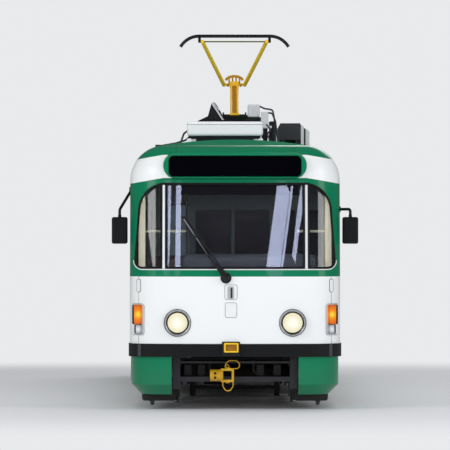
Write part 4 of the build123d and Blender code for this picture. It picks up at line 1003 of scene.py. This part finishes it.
# Yellow enamel: thick safety paint, glossy, a little worn. In the recess a darker ochre is painted as its
# shade.
safety_yellow = plain_paint("yellow_safety_enamel", ("e6b20e", "f7cc22"), 22.0, (0.32, 0.5), 0.05, coat=0.2)
shade_painted_ochre = plain_paint("shaded_ochre_enamel", ("8a5a06", "b07a10"), 18.0, (0.4, 0.6), 0.1)
socket_box = piece("socket_box", [capped(box_loops)], satin_black, smooth=35)
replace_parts(socket_box, "trainline_socket")
piece("socket_frame", [ringed(frame_loops)], safety_yellow, smooth=30)
piece("socket_recess", [capped(recess_loops)], shade_painted_ochre, smooth=30)

# Couplers: the stowed drawbars in yellow enamel, with a bolted end plate, a lifting ring, a wire
# handle above and a safety loop below.
COUPLER_Y = -6.805
COUPLER_Z = 0.408
WIRE_Y = COUPLER_Y - 0.030
# Grimy yellow enamel: the same paint, darkened by grease in patches.
grimy_yellow = plain_paint("grimy_yellow_enamel", ("b0820e", "e4b41e"), 16.0, (0.35, 0.6), 0.12, coat=0.2)
dress(grimy_yellow, "couplers")
flange = [(0.0, 0.0), (0.0, 0.050), (0.004, 0.054), (0.010, 0.0725), (0.022, 0.0725), (0.026, 0.068)]
band = [(0.0, 0.0675), (0.0, 0.074), (0.016, 0.074), (0.016, 0.0675)]
collar = [(0.0, 0.016), (0.0, 0.022), (0.012, 0.021), (0.012, 0.016)]
# Each pin hole is a black disc sunk in its yellow collar: painted shade.
hole_shade = [(0.0, 0.0), (0.0, 0.017), (0.007, 0.017), (0.007, 0.0)]
pin = [(0.0, 0.0), (0.0, 0.026), (0.010, 0.026), (0.014, 0.020), (0.014, 0.0)]
fittings = [
    turned(flange, (-0.2965, COUPLER_Y, COUPLER_Z), (1, 0, 0), 36),
    turned(band, (-0.185, COUPLER_Y, COUPLER_Z), (1, 0, 0), 36, ring=True),
]
hole_shades = []
for way in (-1, 1):
    at = (-0.235, COUPLER_Y - 0.064, COUPLER_Z + way * 0.026)
    fittings.append(turned(collar, at, (0, -1, 0), 20, ring=True))
    hole_shades.append(turned(hole_shade, at, (0, -1, 0), 20))
    fittings.append(turned(pin, (-0.090, COUPLER_Y, COUPLER_Z + way * 0.080), (0, 0, way), 24))
lifting_ring = [Vector((-0.096 + across, COUPLER_Y - 0.02, 0.512 + up)) for across, up in disc(0.022, 24)]
fittings.append(sweep(lifting_ring, disc(0.006, 8), (0, -1, 0)))
handle = [(-0.040, 0.487), (-0.107, 0.500), (-0.112, 0.545), (-0.070, 0.582), (0.015, 0.582), (0.053, 0.548)]
handle += [(0.050, 0.505), (0.022, 0.487), (-0.022, 0.487)]
loop = [(-0.143, 0.335), (-0.146, 0.285), (-0.118, 0.235), (-0.084, 0.222), (-0.050, 0.235), (-0.022, 0.285)]
loop += [(-0.025, 0.335)]
for line in (handle, loop):
    wire = bent([(x, WIRE_Y, z) for x, z in line], 0.012, 4)
    fittings.append(sweep(wire, disc(0.0065, 8), (0, -1, 0), closed=False))
piece("coupler_pin_hole_shades", both_ends(hole_shades), satin_black, smooth=45)
piece("coupler_fittings", both_ends(fittings), grimy_yellow, smooth=45)

# Underframe and what hangs from it: plain steel in black chassis paint dulled by brake dust, sand
# boxes with their pipes behind the end skirts, cable troughs on the end frames, and case lids.
CORNERS = [(side, end) for side in (-1, 1) for end in (-1, 1)]
SAND_X = 0.986
SAND_Y = 6.47
TROUGH_Y = (6.585, 6.62)
CABLE_Y = 6.60
CASE_X = 1.082
# Chassis paint and frame paint: brushed on thick, dull, and browned by dust.
chassis_paint = plain_paint("dusty_chassis_paint", ("0e0e10", "242322"), 14.0, (0.55, 0.8), 0.25)
frame_paint = plain_paint("grey_frame_paint", ("26262a", "36363b"), 14.0, (0.45, 0.65), 0.2)
dress(chassis_paint, "sills", "cross_members", "lifeguard", "underfloor_boxes")
dress(frame_paint, "end_frames")
collar = [(0, 0.028), (0, 0.034), (0.05, 0.034), (0.05, 0.028)]
boxes, pipes, lids, troughs = [], [], [], []
for side, end in CORNERS:
    x, y = side * SAND_X, end * SAND_Y
    # The lower boxes reach down to 98 mm, below the skirts, where their black also stands in for the shade
    # under the skirts: partly painted shadow.
    boxes.append(block((side * 0.70, end * 6.60, 0.098), (side * 1.105, end * 6.34, 0.360), 0.03, 3))
    boxes.append(block((side * 0.78, end * 6.55, 0.325), (side * 1.025, end * 6.39, 0.80), 0.01))
    pipes.append(tube(bent([(x, y, 0.30), (x, y, 0.085), (x, end * 6.40, 0.064)], 0.03), 0.026, 16))
    pipes.append(turned(collar, (x, y, 0.09), (0, 0, 1), 20, ring=True))
    for y in (end * 0.98, end * 1.42):
        lids.append(block((side * CASE_X, y - 0.17, 0.36), (side * (CASE_X + 0.010), y + 0.17, 0.74)))
        lids.append(block((side * CASE_X, y - 0.02, 0.66), (side * (CASE_X + 0.022), y + 0.02, 0.70)))
piece("sand_boxes", boxes, chassis_paint)
piece("sand_pipes", pipes, clamp_steel)
for end in (-1, 1):
    near, far, middle = end * TROUGH_Y[0], end * TROUGH_Y[1], end * CABLE_Y
    for x in (-0.56, -0.40, 0.30, 0.50):
        troughs.append(block((x - 0.045, near, 0.40), (x + 0.045, far, 0.53), 0.008))
    for z in (0.60, 0.74):
        troughs.append(tube([(-0.64, middle, z), (0.64, middle, z)], 0.012))
    for x in (-0.30, 0.22):
        troughs.append(tube(bent([(x, near, 0.72), (x, near, 0.45), (x + 0.18, near, 0.36)], 0.05), 0.015))
piece("end_frame_gear", troughs, chassis_paint)
piece("underfloor_hatches", lids, frame_paint)

# Bogies: cast and welded frames in brown-black dust, with round axle-box covers, brake gear by the
# discs, coil springs, and resilient wheels bolted up round their hubs.
BOGIE_Y = 3.2
AXLE_Y = 0.95
AXLE_Z = 0.372
TREAD_INNER = 0.322
WHEEL_FACE = 0.800
BOLTS = 9
BOLT_CIRCLE = 0.205


def spring(foot, way, radius, climb, per_turn, count, wire, up):
    """A coil spring from its foot along a way, as steps that each climb a little."""
    over = Vector((0, 1, 0)) if way[2] else Vector((0, 0, 1))
    line = []
    for k in range(count):
        turn = 2 * pi * k / per_turn
        out = Vector((radius * cos(turn), 0, 0)) + over * (radius * sin(turn))
        line.append(Vector(foot) + out + Vector(way) * (climb * k))
    return sweep(line, wire, up, closed=False)


# Dusted steel: castings under a coarse brown coat of brake dust.
bogie_dust = plain_paint("brake_dusted_steel", ("171412", "332c27"), 9.0, (0.6, 0.85), 0.3)
# Wheel steel: a bright rolled tread and flange, and brown oxide in patches of 30 mm on the web and
# the axle.
wheel_steel, tree = material("worn_wheel_steel")
here = node(tree, "ShaderNodeTexCoord").outputs["Object"]
split = node(tree, "ShaderNodeSeparateXYZ", {0: here})
from_middle = node(tree, "ShaderNodeMath", {0: split.outputs["Y"]}, operation="ABSOLUTE")
from_pivot = node(tree, "ShaderNodeMath", {0: from_middle, 1: BOGIE_Y}, operation="SUBTRACT")
to_side = node(tree, "ShaderNodeMath", {0: from_pivot}, operation="ABSOLUTE")
spot = node(tree, "ShaderNodeCombineXYZ", {1: to_side, 2: split.outputs["Z"]})
away = node(tree, "ShaderNodeVectorMath", {0: spot, 1: (0, AXLE_Y, AXLE_Z)}, operation="DISTANCE")
tread = node(tree, "ShaderNodeMath", {0: away, 1: TREAD_INNER}, operation="GREATER_THAN")
soot = node(tree, "ShaderNodeTexNoise", {"Vector": here, "Scale": 30.0, "Detail": 6.0})
oxide = node(tree, "ShaderNodeMix", {"Factor": soot, "A": "1d1816", "B": "3e322b"}, data_type="RGBA")
rolled = node(tree, "ShaderNodeMix", {"Factor": soot, "A": "6d6a67", "B": "9b9895"}, data_type="RGBA")
tone = node(tree, "ShaderNodeMix", {"Factor": tread, "A": oxide, "B": rolled}, data_type="RGBA")
gloss = node(tree, "ShaderNodeMapRange", {"Value": tread, "To Min": 0.75, "To Max": 0.32})
bump = node(tree, "ShaderNodeBump", {"Height": soot, "Strength": 0.15, "Distance": 0.002})
inputs = {"Base Color": tone, "Metallic": tread, "Roughness": gloss, "Normal": bump}
shader = node(tree, "ShaderNodeBsdfPrincipled", inputs)
node(tree, "ShaderNodeOutputMaterial", {"Surface": shader})

cover = [(0.0, 0.142), (0.0, 0.150), (0.020, 0.150), (0.026, 0.142)]
web = [(0.0, 0.300), (0.004, 0.296), (0.004, 0.272), (0.0, 0.268)]
hub = [(0.0, 0.125), (0.014, 0.118), (0.018, 0.060), (0.030, 0.052), (0.030, 0.0)]
bolt = [(0.0, 0.017), (0.012, 0.017), (0.014, 0.014), (0.014, 0.0)]
for end, bogie_y in (("front", -BOGIE_Y), ("rear", BOGIE_Y)):
    dress(bogie_dust, f"bogie_{end}", f"motors_{end}", f"rail_brakes_{end}")
    gear = []
    for side in (-1, 1):
        for axle in (-AXLE_Y, AXLE_Y):
            centre = (side * 0.560, bogie_y + axle, AXLE_Z)
            gear.append(turned(cover, centre, (side, 0, 0), 32, ring=True))
            y = bogie_y + axle * 0.52
            gear.append(block((side * 0.57, y - 0.07, 0.30), (side * 0.67, y + 0.07, 0.50), 0.02))
        foot = (side * 0.615, bogie_y, 0.455)
        gear.append(spring(foot, (0, 0, 1), 0.045, 0.0022, 12, 66, disc(0.010, 8), (0, 0, 1)))
    piece(f"bogie_{end}_gear", gear, bogie_dust, body=f"bogie_{end}")
    for axle_name, axle in (("fore", -AXLE_Y), ("aft", AXLE_Y)):
        name = f"wheelset_{end}_{axle_name}"
        dress(wheel_steel, name)
        hubs = []
        for side in (-1, 1):
            centre = Vector((side * WHEEL_FACE, bogie_y + axle, AXLE_Z))
            hubs.append(turned(web, centre, (side, 0, 0), 56))
            hubs.append(turned(hub, centre, (side, 0, 0), 40))
            for ahead, up in disc(BOLT_CIRCLE, BOLTS):
                hubs.append(turned(bolt, centre + Vector((0, ahead, up)), (side, 0, 0), 6))
        piece(f"{name}_hubs", hubs, bogie_dust, body=name)

# Steps: pressed aluminium treads, two to a doorway, with raised bars against slipping, riveted to
# wells of the same sheet.
BAR_PITCH = 0.034
TREAD_HALF = 0.61
dress(brushed_aluminium, "step_treads", "step_wells")
treads = []
for centre in DOORWAYS:
    for low_x, high_x, top in ((-1.235, -0.865, 0.350), (-0.842, -0.560, 0.625)):
        count = int((high_x - low_x) / BAR_PITCH)
        for k in range(count):
            x = low_x + (k + 0.5) * (high_x - low_x) / count
            low = (x - 0.005, centre - TREAD_HALF, top - 0.001)
            high = (x + 0.005, centre + TREAD_HALF, top + 0.004)
            treads.append(block(low, high, 0.002, 1))
piece("step_tread_bars", treads, brushed_aluminium)

# Roof gear: a rounded white-grey case on pads at the front, two small grey switch boxes behind it,
# a triangular black bracket with its pale strut, and rigid conduits that end in glands.
CASE_LOW = (-0.577, -5.65, 3.262)
CASE_HIGH = (0.340, -4.85, 3.436)
CASE_ROUND = 0.034
CASE_SEAM_Z = 3.400
BRACKET_Y = (-4.34, -4.26)
# Case and box enamel: sprayed, white-grey on the case and a light grey on the switch boxes.
case_enamel = plain_paint("white_grey_case_enamel", ("e8eaec", "f3f4f5"), 6.0, (0.35, 0.5), 0.06)
box_enamel = plain_paint("light_grey_box_enamel", ("bdbfc1", "d0d2d4"), 8.0, (0.4, 0.55), 0.06)


def prism(outline, y_limits):
    """A flat outline of (x, z) carried straight along the tram."""
    corners = [Vector((x, y, z)) for y in y_limits for x, z in outline]
    size = len(outline)
    faces = [tuple(range(size)), tuple(range(size, 2 * size))]
    return corners, faces + [(k, (k + 1) % size, size + (k + 1) % size, size + k) for k in range(size)]


case = piece("roof_case", [block(CASE_LOW, CASE_HIGH, CASE_ROUND, 5)], case_enamel, smooth=45)
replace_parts(case, "roof_boxes")
seam_x, seam_y = (drawn_in(pair, -0.001) for pair in list(zip(CASE_LOW, CASE_HIGH))[:2])
seam = [Vector((p.x, p.y, CASE_SEAM_Z)) for p in rectangle(seam_x, seam_y, CASE_ROUND, 5)]
piece("roof_case_seam", [sweep(seam, slab(0.003, 0.004, 0.001), (0, 0, 1))], gap_line)
pads, blacks = [], []
for x in (-0.545, 0.255):
    for y in (-5.55, -4.95):
        pads.append(block((x - 0.035, y - 0.05, 3.150), (x + 0.085, y + 0.05, 3.232), 0.008))
        blacks.append(block((x - 0.015, y - 0.03, 3.228), (x + 0.055, y + 0.03, 3.270)))
piece("roof_pads", pads, case_enamel)
boxes = [
    block((0.160, -4.30, 3.515), (0.310, -4.10, 3.675), 0.022, 4),
    block((0.318, -4.67, 3.372), (0.455, -4.49, 3.404), 0.006),
    block((0.322, -4.66, 3.392), (0.412, -4.50, 3.576), 0.012, 3),
]
piece("switch_boxes", boxes, box_enamel, smooth=45)
bracket = [(-0.470, 3.17), (-0.455, 3.47), (-0.330, 3.53), (-0.285, 3.69), (-0.250, 3.70), (-0.215, 3.66)]
bracket += [(-0.10, 3.45), (-0.10, 3.17)]
# The black plinth under the case, the switch boxes' posts and shelf, the bracket and its three bars.
blacks += [
    # The plinth's black also stands in for the shade beneath the case: partly painted shadow.
    block((-0.53, -5.60, 3.140), (0.29, -4.90, 3.264)),
    block((0.175, -4.29, 3.16), (0.200, -4.11, 3.53)),
    block((0.270, -4.29, 3.16), (0.295, -4.11, 3.53)),
    block((0.150, -4.31, 3.440), (0.330, -4.09, 3.517), 0.006),
    block((0.330, -4.65, 3.16), (0.404, -4.51, 3.394), 0.008),
    block((0.42, -4.62, 3.16), (0.50, -4.48, 3.46), 0.02, 3),
    prism(bracket, BRACKET_Y),
    tube([(-0.42, -4.36, 3.470), (0.20, -4.36, 3.470)], 0.016),
    tube([(-0.10, -4.24, 3.520), (0.16, -4.24, 3.520)], 0.020),
    tube([(-0.10, -4.20, 3.440), (0.30, -4.20, 3.440)], 0.022),
]
piece("roof_brackets", blacks, satin_black)
strut = [
    tube([(-0.279, -4.36, 3.688), (-0.120, -4.36, 3.445)], 0.011),
    tube([(-0.262, -4.34, 3.692), (-0.190, -4.34, 3.600)], 0.008),
]
piece("roof_strut", strut, box_enamel, smooth=50)
# Each conduit's radius, the radius of its bends, and its points; the gland is at its lowest one.
arch_pipe = [(0.305, -4.20, 3.655), (0.37, -4.20, 3.625), (0.47, -4.20, 3.610), (0.49, -4.25, 3.50)]
conduits, glands = [], []
for radius, bend, *points in (
    (0.012, 0.04, (-0.93, -5.30, 3.142), (-0.72, -5.30, 3.178), (-0.60, -5.30, 3.215), (-0.545, -5.30, 3.26)),
    (0.012, 0.05, (-0.82, -5.10, 3.150), (-0.66, -5.10, 3.185), (-0.62, -5.10, 3.300), (-0.56, -5.10, 3.345)),
    (0.011, 0.04, *arch_pipe, (0.51, -4.30, 3.15)),
    (0.011, 0.03, (0.40, -4.58, 3.565), (0.46, -4.58, 3.560), (0.50, -4.56, 3.46), (0.54, -4.50, 3.15)),
    (0.010, 0.03, (0.39, -4.66, 3.42), (0.44, -4.70, 3.36), (0.40, -4.74, 3.30), (0.45, -4.76, 3.15)),
):
    x, y, z = min(points, key=lambda point: point[2])
    conduits.append(tube(bent(points, bend), radius))
    glands.append(block((x - 0.035, y - 0.028, z - 0.022), (x + 0.035, y + 0.028, z + 0.020), 0.008, 3))
piece("roof_conduits", conduits + glands, clamp_steel, smooth=50)

# Resistor cases: a long charcoal case of folded sheet on the roof, with a chamfered, louvred side
# whose pale slats show end on.
LOUVRE_Y = (-2.395, 1.195)
LOUVRE_PITCH = 0.12
CASE_FOOT = 3.135
CASE_SHOULDER = (0.841, 3.472)
CASE_SLOPE = 0.85
# Charcoal paint: stoved on sheet, satin.
charcoal_paint = plain_paint("charcoal_case_paint", ("2a2a2e", "38383d"), 10.0, (0.45, 0.6), 0.06)
dress(charcoal_paint, "resistor_boxes")


def side_cover(x_near, x_far, y_limits, shrink=0.0):
    """A slat of the case's sloping side, between two distances from the middle of the roof."""
    near, far = (CASE_SHOULDER[1] - (x - CASE_SHOULDER[0]) * CASE_SLOPE - shrink for x in (x_near, x_far))
    return prism([(x_near, CASE_FOOT), (x_near, near), (x_far, far), (x_far, CASE_FOOT)], y_limits)


slats = []
for k in range(int((LOUVRE_Y[1] - LOUVRE_Y[0]) / LOUVRE_PITCH) + 1):
    y = LOUVRE_Y[0] + k * LOUVRE_PITCH
    slats.append(side_cover(0.846, 0.884, (y - 0.006, y + 0.030)))
    slats.append(side_cover(0.906, 0.955, (y - 0.006, y + 0.030)))
piece("resistor_slats", slats, box_enamel, smooth=30)
piece("resistor_sides", [side_cover(0.838, 0.948, LOUVRE_Y, 0.012)], satin_black, smooth=30)

# Pantograph: yellow enamelled tubes with a web between the lower pair in darker ochre as painted
# shade, a golden toothed arch at the knee, and a black round-ended bow sprung from a thin olive shaft.
PANTO_Y = -3.300
PANTO_Z = 3.560
LOWER_ARM = 1.100
UPPER_ARM = 1.400
LOWER_TURN = radians(22.2)
UPPER_TURN = radians(20.88)
FRAME_Y = (PANTO_Y - 0.19, PANTO_Y + 0.49)
KNEE_X = 0.134
HEAD_X = 0.401
ARCH_REACH = 0.102
ARCH_RISE = 0.052
hinge = Vector((0, PANTO_Y, PANTO_Z))
knee = hinge + LOWER_ARM * Vector((0, cos(LOWER_TURN), sin(LOWER_TURN)))
head = knee + UPPER_ARM * Vector((0, -cos(UPPER_TURN), sin(UPPER_TURN)))

# Glazed porcelain: deep brown and wet-looking.
porcelain = plain_paint("brown_glazed_porcelain", ("2a1710", "40251a"), 12.0, (0.08, 0.2), coat=0.8)
# Passivated steel: golden, passing from bright to dull in patches. Yellow enamel: painted lighter on
# the upper arm, as painted light on the tubes' shaded undersides.
gilt = plain_paint("golden_passivated_steel", ("b9820c", "e6b52a"), 40.0, (0.25, 0.45), 0.1, 0.6)
yellow_painted_lighter = plain_paint("yellow_enamel_painted_lighter", ("fcc818", "ffdc3a"), 9.0, (0.35, 0.5), 0.02)
# Olive paint: thin, on the head's shaft.
olive_shaft = plain_paint("olive_shaft_paint", ("4a4a12", "66661c"), 30.0, (0.35, 0.5), 0.05)
dress(satin_black, "panto_base")
dress(safety_yellow, "panto_lower_arm")
lower_arm = nodes["panto_lower_arm"]
lower_arm.data.materials.append(satin_black)
for face in lower_arm.data.polygons:
    if face.center.z < PANTO_Z + 0.045 and abs(face.center.x) > 0.055:
        face.material_index = len(lower_arm.data.materials) - 1
shed = [(0.0, 0.040), (0.004, 0.062), (0.010, 0.064), (0.030, 0.041)]
sheds = []
for side in (-1, 1):
    for y in (PANTO_Y - 0.16, PANTO_Y + 0.46):
        sheds += [turned(shed, (side * 0.140, y, 3.262 + 0.052 * k), (0, 0, 1), 28) for k in range(5)]
piece("panto_insulators", sheds, porcelain, smooth=50)
frame_bars = [tube([(-0.26, y, 3.545), (0.26, y, 3.545)], 0.017) for y in FRAME_Y]
for side in (-1, 1):
    x = side * 0.14
    foot = (side * 0.095, PANTO_Y + 0.02, 3.530)
    frame_bars.append(tube([(x, FRAME_Y[0], 3.52), (x, FRAME_Y[1], 3.52)], 0.022))
    frame_bars.append(spring(foot, (0, 1, 0), 0.020, 0.0045, 10, 96, disc(0.004, 6), (0, 1, 0.01)))
piece("panto_frame_bars", frame_bars, satin_black, smooth=45)
# The web between the lower arm's tubes is a plate of the darker ochre: painted shade.
along = (knee - hinge).normalized()
rise = along.cross(Vector((-1, 0, 0)))
web_line = [hinge + along * 0.05 + rise * 0.002, knee - along * 0.06 + rise * 0.002]
web = sweep(web_line, slab(0.050, 0.006, 0.001), rise, closed=False)
piece("panto_web", [web], shade_painted_ochre, body="panto_lower_arm")


def on_arch(share, out=0.0):
    """A point on the knee's arch at a share of the way over it, or outside it."""
    turn = pi * share
    arch_x, arch_z = (ARCH_REACH + out) * cos(turn), (ARCH_RISE + out) * sin(turn)
    return knee + Vector((arch_x, 0, ARCH_RISE + arch_z))


arch = [sweep([on_arch(k / 24) for k in range(25)], slab(0.030, 0.030, 0.004), (0, 1, 0), closed=False)]
tooth = Vector((0.007, 0.014, 0.007))
for k in range(1, 14):
    at = on_arch(k / 14, 0.014)
    arch.append(block(at - tooth, at + tooth, 0.003, 1))
for x in (-0.066, -0.022, 0.022, 0.066):
    top = 0.050 + ARCH_RISE * sqrt(1 - (x / ARCH_REACH) ** 2)
    low, high = Vector((x - 0.010, -0.012, 0)), Vector((x + 0.010, 0.012, top))
    arch.append(block(knee + low, knee + high, 0.003, 1))
bolt = [(0.0, 0.0), (0.0, 0.020), (0.012, 0.020), (0.016, 0.014), (0.016, 0.0)]
arch += [turned(bolt, knee + Vector((x, -0.042, -0.010)), (0, -1, 0), 12) for x in (-0.080, 0.080)]
piece("panto_knee_arch", arch, gilt, body="panto_lower_arm")
upper = []
for side in (-1, 1):
    low, high = knee + Vector((side * KNEE_X, 0, 0)), head + Vector((side * HEAD_X, 0, 0))
    upper.append(tube([low, high], 0.0250, 18))
    for at, reach, radius in ((low, 0.019, 0.026), (high, 0.018, 0.020)):
        sleeve = [(-reach, 0.0), (-reach, radius), (reach, radius), (reach, 0.0)]
        upper.append(turned(sleeve, at, (1, 0, 0), 24))
tubes = piece("panto_upper_tubes", upper, yellow_painted_lighter, body="panto_upper_arm", smooth=45)
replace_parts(tubes, "panto_upper_arm")

# The bow: a painted steel tube that is straight over the middle and drops at each end in a round
# arc; it stands on two coil springs over the shaft.
BOW_RISE = 0.069
BOW_STRAIGHT = 0.443
BOW_DROP = 0.134
BOW_REACH = 0.674
end_span = BOW_REACH - BOW_STRAIGHT
end_radius = (end_span**2 + BOW_DROP**2) / (2 * BOW_DROP)
end_turn = atan2(end_span, end_radius - BOW_DROP)
bow = []
for k in range(13):
    turn = end_turn * (1 - k / 12)
    dropped = end_radius * (1 - cos(turn))
    bow.append(head + Vector((-BOW_STRAIGHT - end_radius * sin(turn), 0, BOW_RISE - dropped)))
bow += [head + Vector((BOW_STRAIGHT * (k / 4 - 1), 0, BOW_RISE)) for k in range(1, 9)]
bow += [Vector((-point.x, point.y, point.z)) for point in bow[:12][::-1]]
shapes = [sweep(bow, disc(0.0205, 14), (0, -1, 0), closed=False)]
for x in (-0.437, 0.437):
    foot = head + Vector((x, 0, 0))
    shapes.append(spring(foot, (0, 0, 1), 0.014, 0.0011, 8, 50, disc(0.005, 6), (0, 0.01, 1)))
    shapes.append(block(foot - Vector((0.016, 0.014, 0.014)), foot + Vector((0.016, 0.014, 0.018))))
    low, high = Vector((-0.016, -0.012, BOW_RISE - 0.030)), Vector((0.016, 0.012, BOW_RISE - 0.012))
    shapes.append(block(foot + low, foot + high))
panto_bow = piece("panto_bow", shapes, satin_black, body="panto_head", smooth=45)
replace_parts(panto_bow, "panto_head")
shaft = [tube([head - Vector((0.452, 0, 0)), head + Vector((0.452, 0, 0))], 0.0085)]
piece("panto_shaft", shaft, olive_shaft, body="panto_head", smooth=45)

# Inside: speckled grey floor covering, moulded seats and cream enamelled poles; behind the cab a
# dark partition with smoked panes, and in it a moulded grey desk with a few plain controls.
PARTITION_Y = sum(point.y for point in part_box("cab_partition")) / 2
SMOKED_Z = (1.806, 2.374)
RAIL_Y = -6.18
RAIL_Z = 2.112
STANCHIONS = (-0.575, 0.735)
# Floor covering: speckled vinyl, whose specks of 5 mm are drawn coarse enough to show.
floor_covering = plain_paint("speckled_floor_covering", ("1f2022", "4a4b4d"), 220.0, (0.5, 0.7), 0.1)
# Cab laminate: blue-grey board with a dull sheen. Desk plastic: much the same grey, with a moulded
# grain, duller and coarser.
cab_laminate = plain_paint("dark_cab_laminate", ("30383f", "3d464e"), 16.0, (0.35, 0.5), 0.05, specular=0.2)
greys = ("343842", "434955")
desk_mould = plain_paint("moulded_desk_plastic", greys, 60.0, (0.45, 0.65), 0.15, specular=0.25)
# Cream enamel: glossy on the poles; on the cab's pillar linings it is painted paler and warmer, as painted
# light behind the glass.
cream_enamel = plain_paint("cream_enamel", ("b3b39c", "c6c6ae"), 12.0, (0.25, 0.4), 0.03)
pillar_lining_painted_lighter = plain_paint("cream_pillar_lining_painted_lighter", ("efe8cc", "f7f0d6"), 12.0, (0.3, 0.45), 0.03)
# Seat shell: dark red moulded plastic. Smoked panes: near black, hardly a mirror.
seat_shell = plain_paint("moulded_seat_shell", ("260a09", "351110"), 40.0, (0.35, 0.5), 0.1)
smoked_pane = plain_paint("smoked_navy_pane", ("020214", "04041c"), 3.0, (0.15, 0.25), specular=0.04)
# Blind cloth: coated navy weave without shine.
blind_cloth = plain_paint("navy_blind_cloth", ("020210", "05051a"), 90.0, (0.8, 0.95), 0.1, specular=0.05)
for paint, name in (
    (floor_covering, "floor"),
    (cab_laminate, "cab_partition"),
    (desk_mould, "driver_desk"),
    (cream_enamel, "handrails"),
    (seat_shell, "seats"),
):
    dress(paint, name)
panes, rims = [], []
for x_limits in ((-0.484, -0.036), (-0.004, 0.434), (0.476, 1.064)):
    low, high = ((x, PARTITION_Y + way * 0.003, z) for x, z, way in zip(x_limits, SMOKED_Z, (-1, 1)))
    panes.append(block(low, high, 0.001))
    line = rectangle(drawn_in(x_limits, 0.008), drawn_in(SMOKED_Z, 0.008), 0.02)
    rims.append(sweep([Vector((p.x, PARTITION_Y, p.y)) for p in line], slab(0.012, 0.036, 0.003), (0, -1, 0)))
piece("partition_panes", panes, smoked_pane)
piece("partition_rubbers", rims, moulded_rubber)
hood = [
    block((-0.640, -6.740, 1.560), (0.950, -6.230, 1.842), 0.085, 6),
    block((-0.600, -6.260, 1.380), (0.900, -6.130, 1.500), 0.030, 4),
]
piece("desk_hood", hood, desk_mould, smooth=60)
button = [(0.0, 0.0), (0.0, 0.014), (0.014, 0.012), (0.016, 0.0)]
gauge = [(0.0, 0.0), (0.0, 0.055), (0.012, 0.055), (0.016, 0.048), (0.016, 0.0)]
knob = [(0.0, 0.0), (0.006, 0.018), (0.022, 0.024), (0.038, 0.018), (0.044, 0.0)]
controls = [turned(button, (-0.45 + 0.11 * k, -6.19, 1.498), (0, 0, 1), 16) for k in range(7)]
controls += [turned(gauge, (x, -6.233, 1.68), (0, 1, 0.3), 32) for x in (0.16, 0.34)]
controls.append(tube([(0.62, -6.19, 1.49), (0.62, -6.16, 1.60)], 0.010))
controls.append(turned(knob, (0.62, -6.165, 1.59), (0, 0.25, 1), 20))
piece("desk_controls", controls, satin_black, smooth=45)
linings = [block((side * 1.065, -6.52, 1.66), (side * 1.150, -6.46, 2.66), 0.015, 3) for side in (-1, 1)]
piece("cab_pillar_linings", linings, pillar_lining_painted_lighter, smooth=45)
ends = zip((-1.20, 1.20), STANCHIONS)
rails = [tube([(outer, RAIL_Y, RAIL_Z), (x, RAIL_Y, RAIL_Z)], 0.015) for outer, x in ends]
piece("cab_rails", rails, cream_enamel, smooth=45)
stanchions = [tube([(x, RAIL_Y, 0.905), (x, RAIL_Y, 2.66)], 0.016) for x in STANCHIONS]
piece("cab_stanchions", stanchions, satin_black, smooth=45)
blind = [
    block((-0.66, -6.232, 2.545), (0.76, -6.222, 2.700)),
    tube([(-0.70, -6.240, 2.622), (0.72, -6.240, 2.622)], 0.007),
]
piece("sun_blind", blind, blind_cloth, smooth=45)
cap = [(0.0, 0.0), (0.0, 0.017), (0.006, 0.016), (0.012, 0.010), (0.013, 0.0)]
repeaters = [turned(cap, (side * 1.249, end * 6.46, 2.694), (side, 0, 0), 20) for side, end in CORNERS]
piece("side_repeaters", repeaters, white_trim, smooth=50)
lights = []
for k in range(7):
    y = -4.2 + 1.6 * k
    for x in (-0.62, 0.62):
        lights.append(block((x - 0.07, y - 0.45, 3.050), (x + 0.07, y + 0.45, 3.085), 0.015, 3))
        lights.append(block((x - 0.05, y - 0.40, 3.080), (x + 0.05, y + 0.40, 3.125), 0.006))
piece("ceiling_lights", lights, white_trim, smooth=45)

# Sky streaks: five narrow lamps like strips of bright sky, high ahead of the tram, which the raked
# and bowed windscreen mirrors as long pale bars, upright on one side and leaning on the other.
STREAK_Y = -15.0
STREAK_LIGHT = 7.5
STREAK_REACH = 1.3
STREAK_COLOUR = "d3dcff"


def in_sky(x, z):
    """Where a level look along the tram, mirrored by the windscreen at a point, meets the strips' plane."""
    turn = asin(x / BOW)
    out = Vector((sin(turn) * cos(RAKE), -cos(turn) * cos(RAKE), sin(RAKE)))
    look = Vector((0, 1, 0))
    ray = look - out * (2 * look.dot(out))
    start = Vector((x, nose_y(x, z), z))
    return start + ray * ((STREAK_Y - start.y) / ray.y)


# Each bar's name, its limits across and in height on the windscreen, and its lean.
for name, low_x, high_x, low_z, high_z, lean in (
    ("streak_1", -0.882, -0.790, 1.60, 2.66, 0.0),
    ("streak_2", -0.738, -0.664, 1.60, 2.62, 0.0),
    ("streak_3", 0.458, 0.616, 1.56, 2.62, 0.50),
    ("streak_4", 0.636, 0.654, 1.56, 2.62, 0.50),
    ("streak_5", 0.768, 0.810, 1.80, 2.62, 0.50),
):
    near, far = in_sky(low_x, low_z), in_sky(high_x, high_z)
    width = abs(far.x - near.x) * cos(lean)
    tall = STREAK_REACH * (far.z - near.z) / cos(lean)
    power = STREAK_LIGHT * pi * width * tall
    strip = lamp(name, (near + far) / 2, (0, 0, 0), (width, tall), power, STREAK_COLOUR)
    strip.rotation_euler = (radians(90), lean, 0)

low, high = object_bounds()
